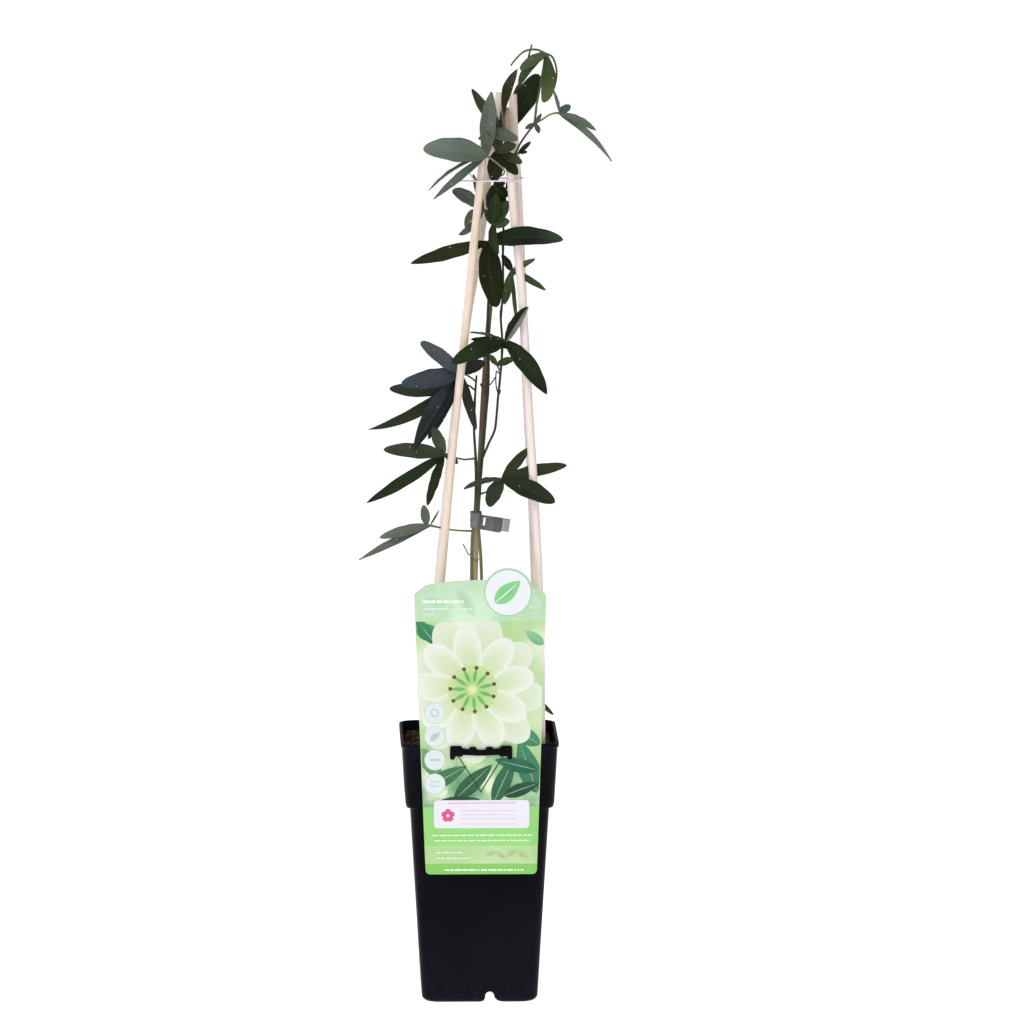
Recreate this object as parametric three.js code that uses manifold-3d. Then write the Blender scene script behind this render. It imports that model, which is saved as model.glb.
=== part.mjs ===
// A young passion flower vine in its tall square pot, in millimetres, +Z up.
// The origin is the middle of the pot's flat base. The pot's labelled front faces -Y.
//
// Pot and soil, four leaning canes tied near their tops, a thin central cane, two vine
// stems clipped to it, and one solid for each leaf: a stalk that ends in a fan of lobes.

import * as THREE from 'three';
import { mergeVertices } from 'three/addons/utils/BufferGeometryUtils.js';
import Module from 'manifold-3d';

const wasm = await Module();
wasm.setup();

// ---------------------------------------------------------------- driving dimensions

const GAP = 0.3;                      // clearance where one piece touches the next

const POT = {
  height: 206,
  wall: 1.6,
  floor: 2.6,
  footHalf: 44.8,                     // half width of the body, carried down to the ground
  footRadius: 6,
  floorBevel: 3.4,                    // slope between the floor and the inner wall
  neckHalf: 53.8,                     // half width just under the collar
  collarHalf: 57.4,                   // half width at the collar's lower edge
  rimHalf: 60.4,
  bead: 0.8,                          // how far the rim's bead stands out
  beadHeight: 4,
  collarZ: 154,
  cornerFoot: 9,
  cornerRim: 12,
  baseHub: [-12, -5, 0],              // keeps the base's middle inside one facet
};
const DRAIN = { offset: 7.6, width: 6.9, height: 9, flare: [5.4, 8.6], mouth: 5, wall: 1.6 };
const HOOK = {
  postX: [-5.7, 7], postWidth: 3, postZ: [199, 202.4],
  frontGap: GAP, thickness: 2, middle: 0.6,
  halfOutline: [                      // x from the middle, and z, round the right half
    [3, 202.2], [4.4, 204.4], [8.4, 204.4], [9.8, 202.6], [14.4, 203.4], [15.6, 205.2],
    [23, 205.2], [24, 204.2], [24, 195.4], [23, 194.5], [20.8, 194.7], [19.8, 197.2],
    [14.8, 196.8], [13.8, 198.2], [3, 197.6],
  ],
};
const SOIL = { level: 197.5, relief: 2.4 };

const LABEL = {
  thickness: 0.8,
  back: -(POT.rimHalf + POT.bead) - GAP,   // the label's back face, against the bead
  bottom: 104.5, bottomHalf: 43.6, bottomLeft: 42.2, cornerRadius: 4,
  shoulder: 323.5, shoulderHalf: 50.9,
  crown: 334.4,
  disc: { x: 21.4, z: 324.4, radius: 19.2 },
  slot: { x: [-9, 10.4], z: [198.4, 203] },
  vee: { top: 196.6, half: 16.6, tip: 169.8, middle: 0.4, width: 0.9 },
};

const CANE = { radius: 3.3, sides: 10 };
const THIN_CANE = { radius: 2.1, sides: 8 };
const BLADE = { thickness: 0.8, rootSink: 0.2, tipWidth: 1.3 };

// ---------------------------------------------------------------- small tools

const vec = (p) => new THREE.Vector3(...p);

function solidOf(geometry) {
  const bare = geometry.clone();
  bare.deleteAttribute('normal');
  bare.deleteAttribute('uv');
  const merged = mergeVertices(bare, 1e-4);
  const mesh = new wasm.Mesh({
    numProp: 3,
    vertProperties: new Float32Array(merged.attributes.position.array),
    triVerts: new Uint32Array(merged.index.array),
  });
  return new wasm.Manifold(mesh);
}

function geometryOf(solid) {
  const mesh = solid.getMesh();
  const geometry = new THREE.BufferGeometry();
  geometry.setAttribute('position', new THREE.BufferAttribute(mesh.vertProperties, 3));
  geometry.setIndex(new THREE.BufferAttribute(mesh.triVerts, 1));
  geometry.computeVertexNormals();
  return geometry;
}

const union = (solids) => solids.reduce((all, next) => all.add(next));

function largestBody(solid) {
  const bodies = solid.decompose();
  return bodies.reduce((best, body) => (body.volume() > best.volume() ? body : best));
}

function meshFrom(points, faces) {
  const geometry = new THREE.BufferGeometry();
  const flat = points.flatMap((p) => [p.x, p.y, p.z]);
  geometry.setAttribute('position', new THREE.Float32BufferAttribute(flat, 3));
  geometry.setIndex(faces.flat());
  return geometry;
}

// Joins equal rings of points into a closed surface with a fan over each end. firstHub
// places the first fan's hub, which otherwise is the middle of its ring.
function loft(rings, firstHub = null) {
  const count = rings[0].length;
  const points = rings.flat();
  const faces = [];
  for (let r = 0; r + 1 < rings.length; r += 1) {
    for (let i = 0; i < count; i += 1) {
      const a = r * count + i;
      const b = r * count + ((i + 1) % count);
      faces.push([a, b, b + count], [a, b + count, a + count]);
    }
  }
  const middle = (ring) => ring.reduce((sum, p) => sum.add(p), vec([0, 0, 0])).divideScalar(count);
  const first = points.push(firstHub ?? middle(rings[0])) - 1;
  const last = points.push(middle(rings.at(-1))) - 1;
  const top = (rings.length - 1) * count;
  for (let i = 0; i < count; i += 1) {
    const j = (i + 1) % count;
    faces.push([first, j, i], [last, top + i, top + j]);
  }
  return meshFrom(points, faces);
}

// A round bar along a smooth curve. radiusAt(t) gives its radius along the way.
function bar(points, radiusAt, sides, steps) {
  const curve = new THREE.CatmullRomCurve3(points.map(vec));
  const rings = [];
  let across = new THREE.Vector3(1, 0.2, 0.1);
  for (let s = 0; s <= steps; s += 1) {
    const t = s / steps;
    const centre = curve.getPointAt(t);
    const along = curve.getTangentAt(t);
    across = across.clone().addScaledVector(along, -across.dot(along)).normalize();
    const other = along.clone().cross(across);
    const radius = radiusAt(t);
    rings.push(Array.from({ length: sides }, (_, i) => {
      const turn = (2 * Math.PI * i) / sides;
      return centre.clone()
        .addScaledVector(across, radius * Math.cos(turn))
        .addScaledVector(other, radius * Math.sin(turn));
    }));
  }
  return solidOf(loft(rings));
}

const evenBar = (points, radius, sides, steps) => bar(points, () => radius, sides, steps);

// A flat outline in X and Z, given depth along Y from the plane y = back towards -Y.
function plate(shape, back, depth, curveSegments = 4) {
  const geometry = new THREE.ExtrudeGeometry(shape, { depth, bevelEnabled: false, curveSegments });
  geometry.rotateX(Math.PI / 2);
  geometry.translate(0, back, 0);
  return solidOf(geometry);
}

function box(low, high) {
  const size = high.map((h, i) => h - low[i]);
  const geometry = new THREE.BoxGeometry(...size);
  geometry.translate(...low.map((l, i) => l + size[i] / 2));
  return solidOf(geometry);
}

function finish(color, roughness, metalness = 0) {
  return new THREE.MeshStandardMaterial({ color, roughness, metalness, flatShading: true });
}

const FINISH = {
  potPlastic: finish(0x1c1b20, 0.42),
  soil: finish(0x4a3524, 0.95),
  cane: finish(0xecd8c4, 0.6),
  thinCane: finish(0xb99f78, 0.65),
  wire: finish(0xe6e4ea, 0.4),
  clip: finish(0x77777b, 0.45),
  label: finish(0xb9dfae, 0.35),
  stem: finish(0x5b6444, 0.6),
  glossyLeaf: finish(0x22301d, 0.4),
  blueLeaf: finish(0x3a424a, 0.45),
  underLeaf: finish(0x5f7163, 0.65),
  freshLeaf: finish(0x36562a, 0.5),
};

const group = new THREE.Group();

function addPart(name, solid, material) {
  const mesh = new THREE.Mesh(geometryOf(solid), material);
  mesh.name = name;
  group.add(mesh);
  return solid;
}

// ---------------------------------------------------------------- pot

// A square with round corners at height z, its points in order round +Z.
function squareRing(half, corner, z, perCorner = 3) {
  const ring = [];
  for (let quarter = 0; quarter < 4; quarter += 1) {
    const facing = (quarter * Math.PI) / 2 + Math.PI / 4;
    const cx = Math.SQRT2 * (half - corner) * Math.cos(facing);
    const cy = Math.SQRT2 * (half - corner) * Math.sin(facing);
    for (let i = 0; i <= perCorner; i += 1) {
      const turn = facing - Math.PI / 4 + (i / perCorner) * (Math.PI / 2);
      ring.push(vec([cx + corner * Math.cos(turn), cy + corner * Math.sin(turn), z]));
    }
  }
  return ring;
}

const mix = (a, b, t) => a + (b - a) * t;
const bodyHalf = (z) => mix(POT.footHalf, POT.neckHalf, z / POT.collarZ);
const collarHalf = (z) => mix(POT.collarHalf, POT.rimHalf, (z - POT.collarZ) / (POT.height - POT.collarZ));
const cornerAt = (z) => mix(POT.cornerFoot, POT.cornerRim, z / POT.height);

function innerHalf(z) {
  const step = POT.collarZ + POT.wall;
  return (z > step ? collarHalf(z) : bodyHalf(z)) - POT.wall;
}

// Two crossing bars along the pot's base, from side to side, with an arched section whose
// foot spreads to the left and right by the two flares.
function drainCross(width, height, reach, flare = [0, 0]) {
  const arch = new THREE.Shape();
  const middle = DRAIN.offset;
  const half = width / 2;
  const spring = height - half;
  const [left, right] = flare.map((spread) => half + spread);
  arch.moveTo(middle - left, -1);
  arch.lineTo(middle + right, -1);
  arch.lineTo(middle + right, 0);
  arch.quadraticCurveTo(middle + half + 0.16 * flare[1], 0.8, middle + half, spring);
  arch.absarc(middle, spring, half, 0, Math.PI, false);
  arch.quadraticCurveTo(middle - half, 0.6, middle - left, 0);
  arch.closePath();
  const bar = plate(arch, reach, 2 * reach);
  return bar.add(bar.rotate([0, 0, 90]));
}

// The channels under the base, each with a flared mouth at both ends.
function drainChannels() {
  const { width, height, flare } = DRAIN;
  const reach = POT.footHalf + 5;
  const inner = POT.footHalf - DRAIN.mouth;
  const between = box([-inner, -inner, -2], [inner, inner, height + 1]);
  const mouths = drainCross(width, height, reach, flare).subtract(between);
  return drainCross(width, height, reach).add(mouths);
}

// The ridges over the drain channels, as thick as the pot's own wall.
function drainRidges(extra) {
  const width = DRAIN.width + 2 * (DRAIN.wall + extra);
  const reach = POT.footHalf - 1;
  const aboveGround = box([-reach, -reach, 1], [reach, reach, 40]);
  return drainCross(width, DRAIN.height + DRAIN.wall + extra, reach + 4).intersect(aboveGround);
}

// The moulded anchor on the collar's front that the label hangs from.
function hook() {
  const front = LABEL.back - LABEL.thickness - HOOK.frontGap;
  const anchor = new THREE.Shape();
  const right = HOOK.halfOutline;
  const left = right.toReversed().map(([x, z]) => [-x, z]);
  anchor.setFromPoints([...right, ...left].map(([x, z]) => new THREE.Vector2(HOOK.middle + x, z)));
  const bars = [plate(anchor, front, HOOK.thickness)];
  for (const x of HOOK.postX) {
    const half = HOOK.postWidth / 2;
    bars.push(box([x - half, front - 1, HOOK.postZ[0]], [x + half, -POT.rimHalf + 1, HOOK.postZ[1]]));
  }
  return union(bars);
}

function pot() {
  const rounding = [0, 1, 2, 3].map((step) => {
    const turn = (step * Math.PI) / 6;
    const cut = POT.footRadius * (1 - Math.sin(turn));
    return [bodyHalf(POT.footRadius) - cut, POT.footRadius * (1 - Math.cos(turn))];
  });
  const outer = [
    ...rounding,
    [bodyHalf(POT.collarZ), POT.collarZ],
    [POT.collarHalf - 1.9, POT.collarZ + 0.2], [POT.collarHalf - 0.4, POT.collarZ + 1.4],
    [collarHalf(POT.collarZ + 4), POT.collarZ + 4],
    [collarHalf(POT.height - POT.beadHeight), POT.height - POT.beadHeight],
    [POT.rimHalf + POT.bead, POT.height - POT.beadHeight + 1],
    [POT.rimHalf + POT.bead, POT.height - 0.8], [POT.rimHalf + 0.1, POT.height],
  ];
  const inner = [
    [POT.rimHalf - POT.wall, POT.height],
    [innerHalf(POT.collarZ + POT.wall + 3), POT.collarZ + POT.wall + 3],
    [innerHalf(POT.collarZ), POT.collarZ - 1],
    [innerHalf(POT.floor + POT.floorBevel), POT.floor + POT.floorBevel],
    [innerHalf(POT.floor) - POT.floorBevel, POT.floor],
  ];
  const rings = outer.map(([half, z]) => squareRing(half, cornerAt(z), z));
  const inside = inner.map(([half, z]) => squareRing(half, cornerAt(z) - POT.wall, z));
  const shell = solidOf(loft([...rings, ...inside], vec(POT.baseHub)));
  return shell.add(drainRidges(0)).subtract(drainChannels()).add(hook());
}

// ---------------------------------------------------------------- soil

// Fills the pot up to an uneven top, leaving a hole for each thing that stands in it.
function soil(standing) {
  const fit = GAP + 0.1;
  const sides = [
    [POT.floor + GAP, POT.floorBevel], [POT.floor + POT.floorBevel + GAP, 0], [POT.collarZ - 1.4, 0],
    [POT.collarZ + POT.wall + 3.6, 0], [SOIL.level - 2, 0],
  ];
  const rings = sides.map(([z, inset]) => squareRing(innerHalf(z) - inset - fit, cornerAt(z) - POT.wall, z));
  const topHalf = innerHalf(SOIL.level) - fit;
  for (const part of [0.93, 0.78, 0.6, 0.42, 0.24, 0.1]) {
    const ring = squareRing(topHalf * part, (cornerAt(SOIL.level) - POT.wall) * part, SOIL.level);
    ring.forEach((p) => {
      const bump = Math.sin(p.x * 0.21 + 1) * Math.cos(p.y * 0.17) + 0.6 * Math.sin(p.x * 0.5 - p.y * 0.4);
      p.z += SOIL.relief * 0.6 * bump;
    });
    rings.push(ring);
  }
  const lump = solidOf(loft(rings));
  return lump.subtract(drainRidges(GAP)).subtract(union(standing));
}

// ---------------------------------------------------------------- canes

const CANE_ROUTES = {
  cane_front_left: [
    [-41, -41, 90], [-41.5, -43.5, 160], [-38.6, -42.4, 216], [-29.9, -34.2, 328], [-18.9, -25.4, 448],
    [-11.1, -20.3, 517], [-2.4, -14.1, 602], [1.9, -11.3, 641], [6.4, -8.6, 688],
  ],
  cane_back_left: [
    [-41, 41, 90], [-41.5, 43.5, 160], [-38.8, 42.6, 216], [-30.8, 34.9, 318], [-17.9, 25.6, 448],
    [-9.6, 20.5, 517], [2.9, 14.4, 598], [8.0, 11.4, 640], [16.7, 7.9, 704],
  ],
  cane_front_right: [
    [43.4, -42, 90], [47, -43.6, 160], [47.6, -42.4, 216], [45.5, -33.6, 340], [38.7, -24.9, 458],
    [33.4, -18.2, 549], [27.8, -13.9, 606], [24.9, -11.3, 641], [20.6, -8.2, 694],
  ],
  cane_back_right: [
    [43.4, 42, 90], [47.2, 43.4, 160], [47.4, 42.2, 216], [43.9, 32.9, 348], [38.2, 24.4, 466],
    [33.4, 15.8, 578], [30.4, 11.4, 639], [28.1, 9.7, 671], [27.0, 7.9, 703],
  ],
};
const THIN_CANE_ROUTE = [
  [-6, 2.2, 110], [-4.8, 2.2, 204], [-2.5, 2.2, 325], [-0.7, 2.2, 378], [1.7, 2.2, 427],
  [3.7, 2.2, 466], [7.4, 2.2, 519], [9.3, 2.2, 541], [12.2, 2.2, 598], [14.6, 2.2, 656],
];

const caneBar = (route, extra) => evenBar(route, CANE.radius + extra, CANE.sides, 12);
const thinCane = (extra) => evenBar(THIN_CANE_ROUTE, THIN_CANE.radius + extra, THIN_CANE.sides, 14);

// ---------------------------------------------------------------- stems and tendrils

const STEM_ROUTES = {
  main: [
    [1.6, -2.1, 150], [1.9, -2.1, 204], [2.4, -2.1, 326], [1.4, -2.1, 350], [0.1, -2.1, 366],
    [0, -2.1, 379], [0.9, -2.1, 397],
    [3.2, -2.1, 424], [5.2, -2.1, 448], [7.7, -2.1, 485], [7.2, -2.1, 519], [7.8, -2.1, 541],
    [10.6, -2.1, 583], [12.6, -2.1, 622], [15.6, -1.4, 652], [17.6, -0.6, 668],
  ],
  leader: [
    [3.2, -2.1, 421], [7.8, -1.6, 432], [12.7, -1.1, 443], [13.9, -1, 452], [15.4, -1, 470],
    [17, -1, 485], [18.3, -1, 502], [18.4, -1, 515], [17.4, -1, 531], [18.6, -1, 544],
    [19.2, -1, 560], [19.1, -1, 583], [20.6, -1, 622], [24.4, -1.2, 645], [31, -1, 663],
    [38.9, -1, 675], [42.7, -1, 680], [45, -1, 695], [46.6, -1, 703], [50.4, -1, 726], [51.6, -1, 735],
  ],
  left: [
    [-5.9, -3.1, 150], [-5.8, -3.1, 204], [-5.3, -3.1, 326], [-5.1, -3.2, 350], [-4.3, -3.4, 364],
    [-3, -3.8, 376], [-1.9, -3.8, 399], [-2.2, -3.5, 422], [-3.4, -3.1, 443], [-2.8, -3.1, 466], [-1.4, -3.1, 486],
  ],
};
const STEM_RADIUS = { main: [1.3, 1.1], leader: [0.95, 0.75], left: [2, 0.8] };
const STEM_STEPS = { main: 24, leader: 32, left: 18 };

// Swellings where leaves spring from a stem, as shares of its length.
const STEM_NODES = {
  main: [0.47, 0.62, 0.86, 0.93],
  leader: [0.27, 0.36, 0.52, 0.86, 0.93],
  left: [0.64, 0.8, 0.93],
};

function stemBar(which, extra) {
  const [low, high] = STEM_RADIUS[which];
  const swelling = (t) => STEM_NODES[which].reduce(
    (sum, node) => sum + 0.45 * Math.exp(-(((t - node) / 0.012) ** 2)), 0);
  const radiusAt = (t) => mix(low, high, t) + 0.5 * swelling(t) + extra;
  return bar(STEM_ROUTES[which], radiusAt, 6, STEM_STEPS[which]);
}

const TENDRIL_RADIUS = 0.5;
const TENDRILS = {
  main: [
    [[6.4, -2.6, 470], [3, -6.4, 476], [1.6, -8.2, 480], [5, -8.6, 477], [9.6, -8.4, 480], [13, -7.6, 485]],
  ],
  leader: [
    [[17.1, -1, 486], [14.2, -4, 489], [13.4, -6.4, 484], [14, -7, 476], [15.8, -6.2, 471], [17.2, -6, 475]],
  ],
  left: [
    [[-5.2, -3.1, 346.8], [-7.4, -3.7, 345.8], [-9.4, -4.4, 349], [-12, -5, 354.4]],
    [[-5.2, -3.4, 346], [-4, -5, 343], [-1.6, -5.4, 341.2], [0.2, -4.8, 342.8]],
  ],
};

// The named stems with their tendrils, each radius grown by extra.
function vine(names, extra) {
  return union(names.flatMap((name) => [
    stemBar(name, extra),
    ...TENDRILS[name].map((route) => evenBar(route, TENDRIL_RADIUS + extra, 5, route.length + 3)),
  ]));
}

// ---------------------------------------------------------------- leaves

// How wide a lobe is along its length: narrow at the root, fullest at the share full, and
// the rounder at its end, the smaller the power tip.
function lobeWidth(t, full, tip) {
  const swell = Math.sin(Math.PI * t ** (Math.log(0.5) / Math.log(full)));
  const bulge = swell ** (t > full ? tip : 0.75);
  return (0.18 * (1 - t) + bulge) / 1.08;
}

// One lobe: a blade folded along its midrib, alike on both faces. reach is where its tip
// lies from the root, arch how far the midrib rises towards the upper face between them,
// bow the same along given directions, fold the angle that each half is raised by, and
// roll the turn about the midrib.
function lobe(root, { reach, width, arch = 0, bow = [0, 0, 0], fold = 16, roll = 0, full = 0.5, tip = 0.55 }, face) {
  const along = vec(reach).normalize();
  const side = along.clone().cross(face).normalize().applyAxisAngle(along, THREE.MathUtils.degToRad(roll));
  const up = side.clone().cross(along);
  const length = vec(reach).length() + BLADE.rootSink;
  const start = root.clone().addScaledVector(along, -BLADE.rootSink);
  const lift = Math.sin(THREE.MathUtils.degToRad(fold));
  const spread = Math.cos(THREE.MathUtils.degToRad(fold));
  const rows = THREE.MathUtils.clamp(3 + Math.round(length / 14), 4, 7);
  const points = [];
  for (let row = 0; row < rows; row += 1) {
    const t = row / (rows - 1);
    const slope = (4 * arch * (1 - 2 * t)) / length;
    const raised = up.clone().addScaledVector(along, -slope).normalize();
    const middle = start.clone().addScaledVector(along, length * t)
      .addScaledVector(up, 4 * arch * t * (1 - t))
      .addScaledVector(vec(bow), 4 * t * (1 - t));
    const half = Math.max(width * lobeWidth(t, full, tip), BLADE.tipWidth) / 2;
    const top = [-1, 0, 1].map((edge) => middle.clone()
      .addScaledVector(side, edge * half * spread)
      .addScaledVector(raised, Math.abs(edge) * half * lift));
    const bottom = top.map((p) => p.clone().addScaledVector(raised, -BLADE.thickness));
    points.push(...top, ...bottom);
  }
  const faces = [];
  const quad = (a, b, c, d) => faces.push([a, b, c], [a, c, d]);
  for (let row = 0; row + 1 < rows; row += 1) {
    const a = row * 6;
    const b = a + 6;
    for (const half of [0, 1]) {
      quad(a + half, a + half + 1, b + half + 1, b + half);
      quad(a + half + 3, b + half + 3, b + half + 4, a + half + 4);
    }
    quad(a, b, b + 3, a + 3);
    quad(a + 2, a + 5, b + 5, b + 2);
  }
  const end = (rows - 1) * 6;
  quad(0, 3, 4, 1);
  quad(1, 4, 5, 2);
  quad(end, end + 1, end + 4, end + 3);
  quad(end + 1, end + 2, end + 5, end + 4);
  return solidOf(meshFrom(points, faces));
}

const STALK = { radius: 0.9, sides: 5 };

// A leaf's stalk runs from the stem to its palm, where its lobes start. A lobe with a root
// of its own is a small leafy ear at the foot of the stalk, and a thread is a curled tip.
function leaf({ stalk, face = [0, -1, 0.4], lobes, threads = [] }, hardware) {
  const palm = vec(stalk.at(-1));
  const knuckle = new THREE.OctahedronGeometry(2.2, 0);
  knuckle.translate(...palm.toArray());
  const pieces = [
    evenBar(stalk, STALK.radius, STALK.sides, stalk.length + 2),
    solidOf(knuckle),
    ...lobes.map((row) => lobe(row.root ? vec(row.root) : palm, row, vec(face).normalize())),
    ...threads.map((route) => evenBar(route, STALK.radius, STALK.sides, route.length + 3)),
  ];
  return largestBody(union(pieces).subtract(hardware));
}

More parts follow.
